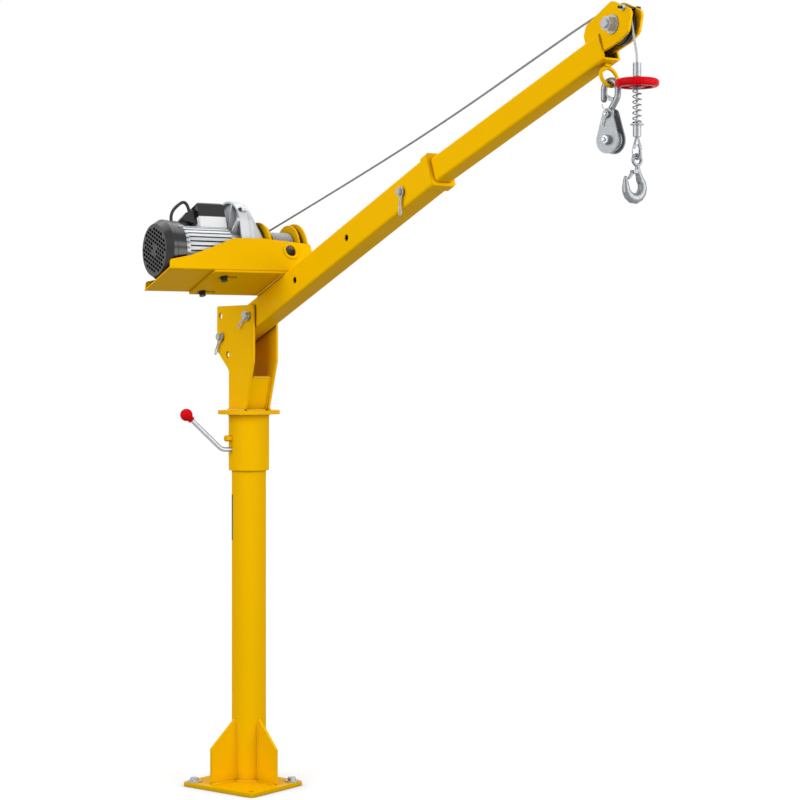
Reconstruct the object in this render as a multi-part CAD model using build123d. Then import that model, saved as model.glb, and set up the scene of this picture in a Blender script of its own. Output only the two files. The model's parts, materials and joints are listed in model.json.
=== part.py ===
from build123d import *
import math
import os

os.makedirs("parts", exist_ok=True)

# all sizes are in millimetres and all angles in degrees
# floor plate, gussets and post
post_r = 44.5
post_wall = 4.5
plate_long = 240
plate_wide = 200
plate_t = 10
plate_corner = 12
plate_turn = 18.9
plate_shift_long = 19
plate_shift_wide = -44
anchor_inset = 22
anchor_hole_r = 7
anchor_shank_r = 6
anchor_flats = 19
anchor_head_h = 8
anchor_washer_r = 18
anchor_washer_t = 3
gusset_angles = (6.5, -83)
gusset_reach = 120
gusset_t = 8
gusset_edge_h = 90
gusset_top_h = 160
cap_t = 8
cap_spigot_h = 12
thrust_t = 4
thrust_r = 38
thrust_bore_r = 12

# turning sleeve, its flange and the two cheeks
run_gap = 0.08
face_gap = 0.3
rest_gap = 0.1
arc_play = 0.02
sleeve_z = 809
sleeve_h = 145
sleeve_r = 52.5
sleeve_bore_r = 47.5
bush_h = 30
bush_inset = 6
flange_r = 80
flange_t = 10
boss_flats = 14
boss_reach = 70
boss_root = 1
boss_rise = 83
lever_r = 6
lever_rise = 54.5
lever_bend_y = -80
lever_end = (-167, 132)
lever_bend_r = 28
knob_r = 16
knob_reach = 20
knob_collar_r = 9
knob_seat = 8
cheek_t = 6
cheek_gap = 61.3
cheek_back = 105
cheek_front = 87
cheek_foot_back = 41
cheek_foot_front = 44
cheek_h = 271
cheek_back_h = 154
cheek_slope_h = 50
cheek_bends = (0, 20, 10, 4, 4, 10, 0)
cheek_front_h = 128
web_t = 6
web_set_back = 9
web_h = 88
pivot_x = 63.3
pivot_drop = 26.5
pivot_r = 10
lock_r = 9
lock_radius = 150
lock_angles = (0, 21, 42)
pin_gap = 0.1
pin_head_t = 6
pin_head_rim = 4
pin_tip = 15
clip_wire_r = 1.5
clip_set = 7
clip_bend_r = 3
clip_play = 0.4
clip_loop = ((46, 0), (56, 5), (46, 10), (24, 4.5))
clip_step = 7
clip_back = (4, 6.5)
clip_leans = (-150, -125, -95)

# boom, its collar and the sliding inner boom
boom_angle = 21
boom_w = 55
boom_h = 72
boom_t = 3
boom_r = 6
boom_tail = 175
boom_front = 866
notch_gap = 0.5
notch_sweep = 40
pivot_bush_r = 15
extend_r = 8
extend_count = 3
extend_set = 118
extend_pitch = 258
collar_w = 64
collar_h = 80
collar_r = 8
collar_len = 22
lip_t = 3
inner_w = 44
inner_h = 57
inner_t = 5
inner_r = 6
inner_drop = 2
inner_droop = 2.25
tail_past_pin = 35
inner_reach = 623
tip_open = 50
tip_cut = 2

# hoist: mounting plate, tray and drum frame
mount_t = 6
mount_back = 45
mount_front = 189
mount_left = -222
bolt_r = 4
slot_w = 9
slot_len = 44
slot_spots = ((62, -180), (157, -166))
bolt_set = -15
bolt_head_r = 8
bolt_head_h = 9
bolt_washer_r = 11
bolt_washer_t = 2
bolt_nut_flats = 13
bolt_nut_h = 7
tray_t = 3
tray_fold_r = 2.8
tray_back = 45
tray_front = 190
tray_left = -345
tray_right = 68
tray_corner = 2
tray_edge = ((-338, 66), (-281, 78), (-216, 102), (-152, 128), (-72, 130), (34, 121), (66, 118))
tray_bends = (0, 0, 3, 12, 25, 25, 25, 25, 6)
wall_hole_y = 5
wall_hole_v = 98
wall_hole_r = 15
wall_ring_r = 22
wall_ring_t = 2
side_t = 4
side_left = -48
side_right = 58
arch_v = 130

# hoist: drum, gears and motor, along the shaft line
hoist_s = 117.5
drum_v = 138
motor_v = 121
counter_v = 187
core_r = 34
drum_flange_r = 58
drum_flange_t = 4
drum_left = -38
drum_right = 47
drum_shaft_r = 10
drum_shaft_end = -81
gear_module = 2
tooth_tip = 0.8
tooth_root = 1.1
tooth_play = 0.35
tooth_half = (1.45, 0.55)
gear_step = 2
teeth_small = 13
teeth_wheel = 53
teeth_drum = 36
wheel_y = (-98, -86)
drum_gear_y = (-80, -68)
shaft_r = 8
bearing_r = 16
case_left = -148
case_split = -104
case_wall = 6
case_top_r = 63
case_low_r = 56
case_low_v = 125
case_rim = 5
case_rim_t = 6
case_ring_w = 18
case_ring_t = 5
case_web_t = 8
bell_r = 52
boss_rim = 6
boss_step = 6
rib_t = 5
rib_left = -138
rib_angles = (42, 68, 112, 138)
lug_r = 7
lug_angles = (20, 160)
lug_low = (-35, -145)
cover_neck = -84
cover_back = -64
cover_end_top = (150, 37)
cover_end_low_r = 48
counter_bearing_r = 11
housing_left = -271
fin_count = 32
fin_r = 62
fin_root_r = 54
fin_w = 8
housing_bore_r = 48
foot_half = 28
foot_y = (-228, -188)
foot_rise = 8
foot_play = 2
stator_bore_r = 31
rotor_r = 30.3
stator_y = (-259, -160)
shield_left = -285
shield_r = 66
shield_lip = 4
shaft_play = 2
notch_count = 32
notch_w = 5
notch_d = 4
cover_face = -338
cover_face_r = 64.5
cover_r = 75.5
cover_skirt_r = 73.5
cover_taper = 17
cover_step = 27
cover_step_w = 2
cover_wall = 3
cover_lip_r = 60
grille_turn = -43
grille_row = 9.6
grille_pitch = 13
grille_slot = (10.5, 6.5)
grille_r = 61
grille_middle_r = 12
fan_y = (-322, -304)
fan_r = 56
fan_hub_r = 16
fan_blades = 7
fan_blade_t = 2.5
fan_root = 2
box_y = (-215, -141)
box_s = (85, 150)
box_low_v = 170
box_v = 203
lid_v = 242
lid_bevel = 5
gland_half = 20
gland_side = ((0, 225), (13, 221), (28, 217), (42, 202), (37, 195), (23, 193), (10, 188), (0, 190))
lead_r = 4
lead_y = -277
lead_boss_r = 6
lead_boss_root = 6
lead_boss_h = 10
lead_bend_r = 12
lead_set = 6.5
lead_start_v = 224.4
lead_crown_v = 259
lead_shoulder = (47, 236)
lead_foot = 15

# rope and the head sheave
rope_r = 2.5
rope_gap = 0.3
rope_pitch = 5.5
rope_turns = 9.5
winding_right = 40
run_y = -19
axle_reach = 42
axle_rise = 28
sheave_pitch_r = 38
sheave_lip = 2.5
sheave_w = 18
axle_r = 9
axle_flats = 27
axle_nut_t = 15
axle_head_t = 11
axle_tail = 6
head_plate_t = 6
head_hub_r = 15
head_edge = ((-48, -8), (-48, 46), (-34, 63), (54, 74), (103, 30), (80, -6), (50, -12))
head_bends = (4, 10, 16, 18, 14, 16, 16)
axle_washer_r = 19
axle_washer_t = 3
keeper_r = 3
keeper_flats = 11
keeper_nut_t = 6
keeper_tail = 7
keeper_angle = 21
keeper_gap = 0.6
wrap_end = 40
lead_lean = 13
lead_drop = 78
line_bend_r = 100
line_tail = 14

# load line: ferrules, limit disc, spring, thimble and hook
ferrule_r = 8.25
ferrule_h = 27
disc_drop = 5
disc_r = 43.5
disc_t = 16
disc_round = 6.5
disc_dish = (15, 31)
disc_dish_d = 3
spring_h = 72
spring_r = 8.2
spring_wire_r = 1.2
spring_turns = 6.5
spring_end = 1.9
line_washer_r = 13
line_washer_t = 2.5
low_ferrule_h = 22.5
loop_leg = 2.75
loop_r = 12.1
loop_drop = 43.6
loop_neck = 4
loop_cheek = 23
loop_bend_r = 8
thimble_t = 1.5
thimble_arm = 9
thimble_w = 6.4
hook_eye_r = 10.25
hook_eye_wire_r = 3.25
hook_eye_set = 1.9
hook_neck_r = 4.5
hook_neck_drop = 23
hook_steps = 9
hook_bowl_r = 11
hook_bowl_y = -8.3
hook_bowl_drop = 52.5
hook_throat_r = 13
hook_fall_neck = 0.022
hook_fall_tip = 0.042
hook_tip_rise = 16
hook_tip_r = 4
hook_tip_lean = 0.5
hook_sweep = (45, -180)
hook_neck_grow = 1.25
hook_neck_lean = 16
hook_latch_spot = (-9.5, -23.5)
hook_latch_tip = (-20.6, -37)
ear_r = 3.6
ear_in = 3.4
ear_out = 6
ear_reach = 8
latch_half = 3
latch_root_r = 3.4
latch_tip_r = 1.6
latch_pin_r = 1.4

# ring under the boom tip and the hanging block
ring_back = 20
ring_drop = 56
ring_r = 20
ring_wire_r = 4
ring_tab = (12, 13)
block_turn = 14
block_hook_r = 17
block_bar_r = 6.5
block_bend_r = 9
block_sweep_r = 22
block_sweep = (17, 16, 10)
block_tip_drop = 19
block_latch_x = 1
block_latch_drop = 20.7
block_top = 57
block_axle = 108
block_top_r = 12
block_low_r = 27
block_plate_t = 3
block_gap = 19.5
block_sheave_pitch_r = 20.5
block_sheave_gap = 1.5
block_hub_r = 9
block_axle_r = 5
block_pin_r = 4
block_pin_rim = 3
block_axle_rim = 5
block_head_t = 4
block_tail_t = 3
block_latch_rise = 8
latch_play = 1.2

# values that follow from the ones above
sleeve_top = sleeve_z + sleeve_h
post_top = sleeve_top - thrust_t
flange_top = sleeve_top + flange_t
pivot_z = flange_top + cheek_h - pivot_drop
cheek_outer = cheek_gap / 2 + cheek_t
boom_place = Location((pivot_x, 0, pivot_z), (0, -boom_angle, 0))
collar_front = boom_front + lip_t
inner_place = boom_place * Location((collar_front, 0, -inner_drop), (0, inner_droop, 0))
extend_holes = [boom_front - extend_set - extend_pitch * i for i in range(extend_count)]
inner_tail = lip_t + extend_set + tail_past_pin
plate_place = Rot(0, 0, plate_turn) * Pos(plate_shift_long, plate_shift_wide)
tray_v = boom_h / 2 + mount_t
floor_v = tray_v + tray_t
winding_r = core_r + rope_r + rope_gap
head_gap = inner_w - 2 * inner_t - 2 * head_plate_t
head_outer = inner_w / 2 - inner_t
sheave_rim_r = sheave_pitch_r + sheave_lip
block_sheave_r = block_sheave_pitch_r + sheave_lip
cord_sides = 6


def rod(radius, start, end):
    # a round bar between two points
    run = Vector(*end) - Vector(*start)
    return Solid.make_cylinder(radius, run.length, Plane(origin=start, z_dir=run))


def pipe(outer, inner, start, end):
    return rod(outer, start, end) - rod(inner, start, end)


def hexagon(flats, start, end):
    run = Vector(*end) - Vector(*start)
    face = Plane(origin=start, z_dir=run) * RegularPolygon(flats / math.sqrt(3), 6)
    return extrude(face, run.length)


def rod_y(radius, x, z, y_from, y_to):
    return rod(radius, (x, y_from, z), (x, y_to, z))


def pipe_y(outer, inner, x, z, y_from, y_to):
    return pipe(outer, inner, (x, y_from, z), (x, y_to, z))


def hexagon_y(flats, x, z, y_from, y_to):
    return hexagon(flats, (x, y_from, z), (x, y_to, z))


def slab_x(sketch, x_from, x_to):
    # an outline drawn in y and z, made thick along x
    return extrude(Plane.YZ.offset(x_from) * sketch, x_to - x_from)


def slab_y(sketch, y_from, y_to):
    # an outline drawn in x and z, made thick along y
    return extrude(Plane.XZ.offset(-y_to) * sketch, y_to - y_from)


def slab_z(sketch, z_from, z_to):
    return extrude(Plane.XY.offset(z_from) * sketch, z_to - z_from)


def block(x, y, z):
    # a plain box between pairs of limits
    middle = [(limits[0] + limits[1]) / 2 for limits in (x, y, z)]
    return Pos(*middle) * Box(x[1] - x[0], y[1] - y[0], z[1] - z[0])


def outline(points, radius):
    return make_face(FilletPolyline(*points, radius=radius, close=True))


def cord(radius, route):
    # a round section carried along a route
    return sweep(Plane(origin=route @ 0, z_dir=route % 0) * Circle(radius), route)


def wire(radius, route):
    # a thin cord or wire, drawn with a few flat sides
    return sweep(Plane(origin=route @ 0, z_dir=route % 0) * RegularPolygon(radius, cord_sides), route)


def boom_point(s, v):
    spot = (boom_place * Pos(s, 0, v)).position
    return spot.X, spot.Z


def inner_point(s, v):
    spot = (inner_place * Pos(s, 0, v)).position
    return spot.X, spot.Z


def base_plate():
    reach = (plate_long - 2 * anchor_inset, plate_wide - 2 * anchor_inset)
    holes = GridLocations(reach[0], reach[1], 2, 2) * Circle(anchor_hole_r)
    return plate_place * slab_z(RectangleRounded(plate_long, plate_wide, plate_corner) - holes, 0, plate_t)


def base_gussets():
    root = post_r - post_wall
    low = plate_t
    edge = Polygon((root, low), (gusset_reach, low), (gusset_reach, low + gusset_edge_h),
                   (post_r, low + gusset_top_h), (root, low + gusset_top_h), align=None)
    rib = slab_y(edge, -gusset_t / 2, gusset_t / 2) - rod(post_r, (0, 0, 0), (0, 0, post_top))
    return [Rot(0, 0, angle) * rib for angle in gusset_angles]


def post_tube():
    return pipe(post_r, post_r - post_wall, (0, 0, plate_t), (0, 0, post_top - cap_t))


def post_cap():
    seat = post_top - cap_t
    return rod(post_r, (0, 0, seat), (0, 0, post_top)) + rod(
        post_r - post_wall, (0, 0, seat - cap_spigot_h), (0, 0, seat))


def anchor_fasteners():
    # bolts in two opposite corners, cut level with the underside where the floor begins
    pieces = []
    washer_top = plate_t + anchor_washer_t
    for side in (-1, 1):
        spot = plate_place * Pos(side * (plate_long / 2 - anchor_inset), side * (plate_wide / 2 - anchor_inset))
        bolt = rod(anchor_shank_r, (0, 0, face_gap), (0, 0, washer_top))
        bolt += hexagon(anchor_flats, (0, 0, washer_top), (0, 0, washer_top + anchor_head_h))
        washer = pipe(anchor_washer_r, anchor_shank_r, (0, 0, plate_t), (0, 0, washer_top))
        pieces += [spot * bolt, spot * washer]
    return pieces


def thrust_washer():
    return pipe(thrust_r, thrust_bore_r, (0, 0, post_top), (0, 0, sleeve_top - rest_gap))


def swivel_sleeve():
    body = pipe(sleeve_r, sleeve_bore_r, (0, 0, sleeve_z), (0, 0, sleeve_top))
    boss_z = sleeve_z + boss_rise
    body += hexagon(boss_flats, (0, -sleeve_bore_r - boss_root, boss_z), (0, -boss_reach, boss_z))
    lever_z = sleeve_z + lever_rise
    return body - rod(lever_r + run_gap, (0, -post_r, lever_z), (0, -boss_reach, lever_z))


def sleeve_bushes():
    pieces = []
    for low in (sleeve_z + bush_inset, sleeve_top - bush_inset - bush_h):
        pieces.append(pipe(sleeve_bore_r, post_r + run_gap, (0, 0, low), (0, 0, low + bush_h)))
    return pieces


def swivel_flange():
    return rod(flange_r, (0, 0, sleeve_top), (0, 0, flange_top))


def lever_line():
    # bend and end of the clamp lever, and the way its upper arm points
    low = Vector(0, lever_bend_y, sleeve_z + lever_rise)
    end = Vector(0, lever_end[0], sleeve_z + lever_end[1])
    return low, end, (end - low).normalized()


def clamp_lever():
    low, end, way = lever_line()
    start = Vector(0, -post_r - face_gap, low.Z)
    seat = end + way * knob_seat
    return cord(lever_r, FilletPolyline(start, low, seat, radius=lever_bend_r))


def lever_knob():
    low, end, way = lever_line()
    middle = end + way * knob_reach
    ball = Pos(*middle) * Sphere(knob_r)
    ball += rod(knob_collar_r, tuple(end), tuple(middle))
    return ball - rod(lever_r, tuple(end - way), tuple(end + way * knob_seat))


def lock_spot(angle):
    turn = math.radians(angle)
    return pivot_x - lock_radius * math.cos(turn), pivot_z - lock_radius * math.sin(turn)


def cheek_outline():
    low = flange_top
    return outline(((-cheek_foot_back, low), (-cheek_foot_back, low + cheek_back_h - cheek_slope_h),
                    (-cheek_back, low + cheek_back_h), (-cheek_back, low + cheek_h),
                    (cheek_front, low + cheek_h), (cheek_front, low + cheek_front_h),
                    (cheek_foot_front, low)), cheek_bends)


def cheek_plates():
    face = cheek_outline() - Pos(pivot_x, pivot_z) * Circle(pivot_r + pin_gap)
    for angle in lock_angles:
        face -= Pos(*lock_spot(angle)) * Circle(lock_r + pin_gap)
    inner = cheek_gap / 2
    return [slab_y(face, -cheek_outer, -inner), slab_y(face, inner, cheek_outer)]


def cheek_web():
    # cross plate a little behind the sloping front edges
    lean = (cheek_front - cheek_foot_front) / cheek_front_h
    front = cheek_foot_front - web_set_back
    top = front + lean * web_h
    face = Polygon((front - web_t, flange_top), (front, flange_top), (top, flange_top + web_h),
                   (top - web_t, flange_top + web_h), align=None)
    return slab_y(face, -cheek_gap / 2, cheek_gap / 2)


def wire_clip(pin_radius, x, z, y, lean):
    # one leg goes through the pin, the other is sprung round its outside
    way = Vector(math.cos(math.radians(lean)), 0, math.sin(math.radians(lean)))
    side = Vector(-way.Z, 0, way.X)
    over = pin_radius + clip_wire_r + clip_play
    half = pin_radius / 2
    flat = ((-pin_radius - clip_step, 0), *clip_loop, (pin_radius + clip_step, clip_loop[-1][1]),
            (half, over), (-half, over), (-pin_radius - clip_back[0], clip_back[1]))
    points = [Vector(x, y, z) + way * u + side * w for u, w in flat]
    return wire(clip_wire_r, FilletPolyline(*points, radius=clip_bend_r))


def cross_pin(radius, x, z, half, lean):
    # headed pin with a wire clip in its tip on the lever side
    pin = rod_y(radius, x, z, -half - pin_tip, half)
    pin += rod_y(radius + pin_head_rim, x, z, half, half + pin_head_t)
    clip_y = -half - clip_set
    way = Vector(math.cos(math.radians(lean)), 0, math.sin(math.radians(lean))) * 2 * radius
    middle = Vector(x, clip_y, z)
    pin -= rod(clip_wire_r + pin_gap, tuple(middle - way), tuple(middle + way))
    return [pin, wire_clip(radius, x, z, clip_y, lean)]


def pivot_pin():
    return cross_pin(pivot_r, pivot_x, pivot_z, cheek_outer, clip_leans[0])


def lock_pin():
    x, z = lock_spot(boom_angle)
    return cross_pin(lock_r, x, z, cheek_outer, clip_leans[1])


def outer_boom():
    wall = RectangleRounded(boom_w, boom_h, boom_r)
    wall -= RectangleRounded(boom_w - 2 * boom_t, boom_h - 2 * boom_t, boom_r - boom_t)
    body = slab_x(wall, -boom_tail, boom_front)
    body -= rod_y(pivot_bush_r, 0, 0, -boom_w, boom_w)
    for s in extend_holes:
        body -= rod_y(extend_r + pin_gap, s, 0, -boom_w, boom_w)
    # the tail hooks up under the lock pin and lets it out of the top as the boom is raised
    half = lock_r + notch_gap
    reach = lock_radius + boom_h
    lean = math.tan(math.radians(notch_sweep))
    path = Circle(lock_radius + half) - Circle(lock_radius - half)
    path &= Polygon((0, 0), (-reach, 0), (-reach, reach * lean), align=None)
    path += Pos(-lock_radius, 0) * Circle(half)
    body -= slab_y(path, -boom_w, boom_w)
    body -= block((-boom_tail, -lock_radius + 2 * half), (-boom_w, boom_w), (boom_h / 2 - boom_r, boom_h))
    return boom_place * body


def boom_collar():
    skin = RectangleRounded(collar_w, collar_h, collar_r)
    ring = slab_x(skin - RectangleRounded(boom_w, boom_h, boom_r), boom_front - collar_len, boom_front)
    mouth = Pos(0, -inner_drop) * RectangleRounded(inner_w + 2 * face_gap, inner_h + 3 * face_gap, inner_r)
    return boom_place * (ring + slab_x(skin - mouth, boom_front, collar_front))


def pivot_bush():
    half = cheek_gap / 2 - face_gap
    return boom_place * pipe_y(pivot_bush_r, pivot_r + run_gap, 0, 0, -half, half)


def extension_pin():
    x, z = boom_point(extend_holes[0], 0)
    return cross_pin(extend_r, x, z, boom_w / 2, clip_leans[2])


def inner_boom():
    wall = RectangleRounded(inner_w, inner_h, inner_r)
    wall -= RectangleRounded(inner_w - 2 * inner_t, inner_h - 2 * inner_t, inner_r - inner_t)
    body = slab_x(wall, -inner_tail, inner_reach)
    # slots open to the rear straddle the extension pin
    x, z = boom_point(extend_holes[0], 0)
    spot = (inner_place.inverse() * Pos(x, 0, z)).position
    half = extend_r + face_gap
    body -= rod_y(half, spot.X, spot.Z, -inner_w, inner_w)
    body -= block((-inner_tail, spot.X), (-inner_w, inner_w), (spot.Z - half, spot.Z + half))
    # the top wall is open at the tip, where the head plates stand up through it
    low = inner_h / 2 - inner_t - tip_cut
    body -= block((inner_reach - tip_open, inner_reach), (-head_outer, head_outer), (low, inner_h))
    return inner_place * body


def hoist_mount_plate():
    middle = Pos((mount_back + mount_front) / 2, (mount_left + boom_w / 2) / 2)
    face = middle * Rectangle(mount_front - mount_back, boom_w / 2 - mount_left)
    for s, y in slot_spots:
        face -= Pos(s, y) * Rot(0, 0, 90) * SlotOverall(slot_len, slot_w)
    return boom_place * slab_z(face, boom_h / 2, tray_v)


def hoist_tray():
    face = Pos((tray_back + tray_front) / 2, (tray_left + tray_right) / 2) * Rectangle(
        tray_front - tray_back, tray_right - tray_left)
    for s, slot in slot_spots:
        face -= Pos(s, slot + bolt_set) * Circle(bolt_r + pin_gap)
    tray = slab_z(face, tray_v, floor_v)
    edge = ((tray_left + tray_corner, floor_v), (tray_right, floor_v)) + tuple(reversed(tray_edge))
    wall = outline(edge, tray_bends)
    hole = Pos(wall_hole_y, wall_hole_v) * Circle(wall_hole_r)
    ring = Pos(wall_hole_y, wall_hole_v) * Circle(wall_ring_r) - hole
    tray += slab_x(wall, tray_back, tray_back + tray_t)
    tray += slab_x(wall - hole, tray_front - tray_t, tray_front)
    tray += slab_x(ring, tray_front, tray_front + wall_ring_t)
    folds = tray.edges().filter_by(Axis.Y).group_by(Axis.Z)[0]
    return boom_place * fillet(folds, tray_fold_r)


def tray_fasteners():
    # bolts up through the slots, each with its washer and its nut on the tray floor
    pieces = []
    plate_v = boom_h / 2
    for s, slot in slot_spots:
        y = slot + bolt_set
        low = plate_v - bolt_washer_t
        bolt = rod(bolt_r, (s, y, low), (s, y, floor_v + bolt_nut_h + bolt_washer_t))
        bolt += rod(bolt_head_r, (s, y, low - bolt_head_h), (s, y, low))
        bolt += rod(bolt_washer_r, (s, y, low), (s, y, plate_v))
        nut = hexagon(bolt_nut_flats, (s, y, floor_v), (s, y, floor_v + bolt_nut_h))
        nut -= rod(bolt_r, (s, y, floor_v), (s, y, floor_v + bolt_nut_h))
        pieces += [boom_place * bolt, boom_place * nut]
    return pieces


def drum_side_plates():
    half = (tray_front - tray_back) / 2 - tray_t
    face = Pos(hoist_s, (floor_v + arch_v) / 2) * Rectangle(2 * half, arch_v - floor_v)
    face += Pos(hoist_s, arch_v) * Circle(half)
    left = face - Pos(hoist_s, drum_v) * Circle(bearing_r + side_t)
    right = face - Pos(hoist_s, drum_v) * Circle(bearing_r)
    return [boom_place * slab_y(left, side_left, side_left + side_t),
            boom_place * slab_y(right, side_right, side_right + side_t)]


def gear(teeth, y_from, y_to, turn):
    # straight-sided shortened teeth with a little play, about the y line
    pitch_r = gear_module * teeth / 2
    tip_r = pitch_r + tooth_tip * gear_module
    root_r = pitch_r - tooth_root * gear_module
    pitch_half = (math.pi * gear_module / 2 - tooth_play) / 2
    wide, narrow = tooth_half
    points = []
    for tooth in range(teeth):
        middle = math.radians(turn) + 2 * math.pi * tooth / teeth
        corners = ((root_r, wide, -1), (tip_r, narrow, -1), (tip_r, narrow, 1), (root_r, wide, 1))
        for radius, half, side in corners:
            angle = middle + side * half * pitch_half / pitch_r
            points.append((radius * math.cos(angle), radius * math.sin(angle)))
    return slab_y(make_face(Polyline(*points, close=True)), y_from, y_to)


def winch_drum():
    drum = rod_y(core_r, hoist_s, drum_v, drum_left, drum_right)
    drum += rod_y(drum_flange_r, hoist_s, drum_v, drum_left, drum_left + drum_flange_t)
    drum += rod_y(drum_flange_r, hoist_s, drum_v, drum_right - drum_flange_t, drum_right)
    drum += rod_y(drum_shaft_r, hoist_s, drum_v, drum_shaft_end, side_right + side_t)
    return boom_place * drum


def drum_gear():
    wheel = gear(teeth_drum, drum_gear_y[0], drum_gear_y[1], 90 + 180 / teeth_drum)
    return boom_place * (Pos(hoist_s, 0, drum_v) * wheel - rod_y(drum_shaft_r, hoist_s, drum_v, *drum_gear_y))


def countershaft():
    left = case_split - case_web_t + rest_gap
    shaft = rod_y(shaft_r, hoist_s, counter_v, left, cover_back + case_wall - rest_gap)
    wheel = gear(teeth_wheel, wheel_y[0], wheel_y[1], 270 + 180 / teeth_wheel)
    small = gear(teeth_small, drum_gear_y[0] - gear_step, drum_gear_y[1] + gear_step, 270)
    return boom_place * (shaft + Pos(hoist_s, 0, counter_v) * (wheel + small))


def rotor_shaft():
    shaft = rod_y(shaft_r, hoist_s, motor_v, fan_y[0] - gear_step, wheel_y[1] + 1.5 * gear_step)
    shaft += rod_y(rotor_r, hoist_s, motor_v, *stator_y)
    small = gear(teeth_small, wheel_y[0] - gear_step / 2, wheel_y[1] + gear_step, 90)
    return boom_place * (shaft + Pos(hoist_s, 0, motor_v) * small)


def cooling_fan():
    fan = rod_y(fan_hub_r, 0, 0, *fan_y)
    blade = block((fan_hub_r - fan_root, fan_r), fan_y, (-fan_blade_t / 2, fan_blade_t / 2))
    for turn in range(fan_blades):
        fan += Rot(0, 360 * turn / fan_blades, 0) * blade
    return boom_place * Pos(hoist_s, 0, motor_v) * (fan - rod_y(shaft_r, 0, 0, *fan_y))


def stator():
    return boom_place * pipe_y(housing_bore_r, stator_bore_r, hoist_s, motor_v, *stator_y)


def motor_housing():
    skin = Circle(fin_root_r)
    fin_h = fin_r - housing_bore_r
    for fin in range(fin_count):
        skin += Rot(0, 0, 360 * (fin + 0.5) / fin_count) * Pos(fin_r - fin_h / 2, 0) * Rectangle(fin_h, fin_w)
    skin &= Circle(fin_r)
    skin -= Circle(housing_bore_r)
    body = Pos(hoist_s, 0, motor_v) * slab_y(skin, housing_left, case_left)
    foot_x = (hoist_s - foot_half, hoist_s + foot_half)
    foot = block(foot_x, foot_y, (floor_v, motor_v - fin_root_r + foot_rise))
    body += foot - rod_y(housing_bore_r + foot_play, hoist_s, motor_v, housing_left, case_left)
    return boom_place * body


def end_shield():
    body = rod_y(shield_r, 0, 0, shield_left, housing_left)
    reach = (shield_r - notch_d, shield_r + notch_d)
    notch = block(reach, (shield_left, housing_left), (-notch_w / 2, notch_w / 2))
    for turn in range(notch_count):
        body -= Rot(0, 360 * (turn + 0.5) / notch_count, 0) * notch
    body -= rod_y(bearing_r, 0, 0, shield_left + shield_lip, housing_left)
    body -= rod_y(shaft_r + shaft_play, 0, 0, shield_left, housing_left)
    root = shield_r - lead_boss_root
    body += rod(lead_boss_r, (0, lead_y, root), (0, lead_y, shield_r + lead_boss_h))
    return boom_place * Pos(hoist_s, 0, motor_v) * body


def cover_profile(inset, end):
    # half outline of the fan cover, drawn as radius and place along the shaft
    face = cover_face + inset
    return Polygon((0, face), (cover_face_r - inset, face), (cover_r - inset, cover_face + cover_taper),
                   (cover_r - inset, cover_face + cover_step),
                   (cover_skirt_r - inset, cover_face + cover_step + cover_step_w),
                   (cover_skirt_r - inset, end), (0, end), align=None)


def grille_spots():
    # rows of slots set like bricks, kept clear of the rim and the middle
    spots = []
    rows = int(grille_r / grille_row)
    columns = int(grille_r / grille_pitch) + 1
    for row in range(-rows, rows + 1):
        for column in range(-columns, columns + 1):
            x = (column + 0.5 * (row % 2)) * grille_pitch
            z = row * grille_row
            if grille_middle_r < math.hypot(x, z) < grille_r - grille_slot[0] / 2:
                spots.append((x, z))
    return spots


def fan_cover():
    lip = shield_left - cover_wall
    body = revolve(cover_profile(0, shield_left), Axis.Y) - revolve(cover_profile(cover_wall, lip), Axis.Y)
    body -= rod_y(cover_lip_r, 0, 0, lip, shield_left)
    holes = [Pos(x, z) * Rectangle(*grille_slot) for x, z in grille_spots()]
    grille = Rot(0, 0, grille_turn) * (Sketch() + holes)
    body -= slab_y(grille, cover_face - cover_wall, cover_face + 2 * cover_wall)
    return boom_place * Pos(hoist_s, 0, motor_v) * body


def capacitor_box():
    body = block(box_s, box_y, (box_low_v, box_v))
    return boom_place * (body - rod_y(fin_r, hoist_s, motor_v, *box_y))


def capacitor_lid():
    lid = block(box_s, box_y, (box_v, lid_v))
    return boom_place * chamfer(lid.faces().sort_by(Axis.Z)[-1].edges(), lid_bevel)


def cable_gland():
    # boot on the fan end of the box, which slopes down to a blunt nose
    side = Polygon(*[(box_y[0] - reach, v) for reach, v in gland_side], align=None)
    return boom_place * slab_x(side, hoist_s - gland_half, hoist_s + gland_half)


def motor_lead():
    # up from the boot beside the lid, over in a loop and down to the boss on the end shield
    start = Vector(hoist_s, box_y[0] - lead_set, lead_start_v)
    end = Vector(hoist_s, lead_y, motor_v + shield_r + lead_boss_h)
    crown = Vector(hoist_s, start.Y, lead_crown_v)
    shoulder = Vector(hoist_s, box_y[0] - lead_shoulder[0], lead_shoulder[1])
    route = FilletPolyline(start, crown, shoulder, end + Vector(0, 0, lead_foot), end, radius=lead_bend_r)
    return boom_place * wire(lead_r, route)


def egg(top_v, top_r, low_r):
    # two circles on the shaft line with straight flanks
    top = Pos(hoist_s, top_v) * Circle(top_r)
    low = Pos(hoist_s, case_low_v) * Circle(low_r)
    return make_hull(top.edges() + low.edges())


def case_outline(grow):
    return egg(counter_v, case_top_r + grow, case_low_r + grow)


def rim_lugs(y_from, y_to):
    # ears on the joint for its screws, round the top and round the bottom
    places = [(counter_v, case_top_r, angle) for angle in lug_angles]
    places += [(case_low_v, case_low_r, angle) for angle in lug_low]
    lugs = []
    for v, radius, angle in places:
        turn = math.radians(angle)
        reach = radius + case_rim
        lugs.append(rod_y(lug_r, hoist_s + reach * math.cos(turn), v + reach * math.sin(turn), y_from, y_to))
    return lugs


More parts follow.
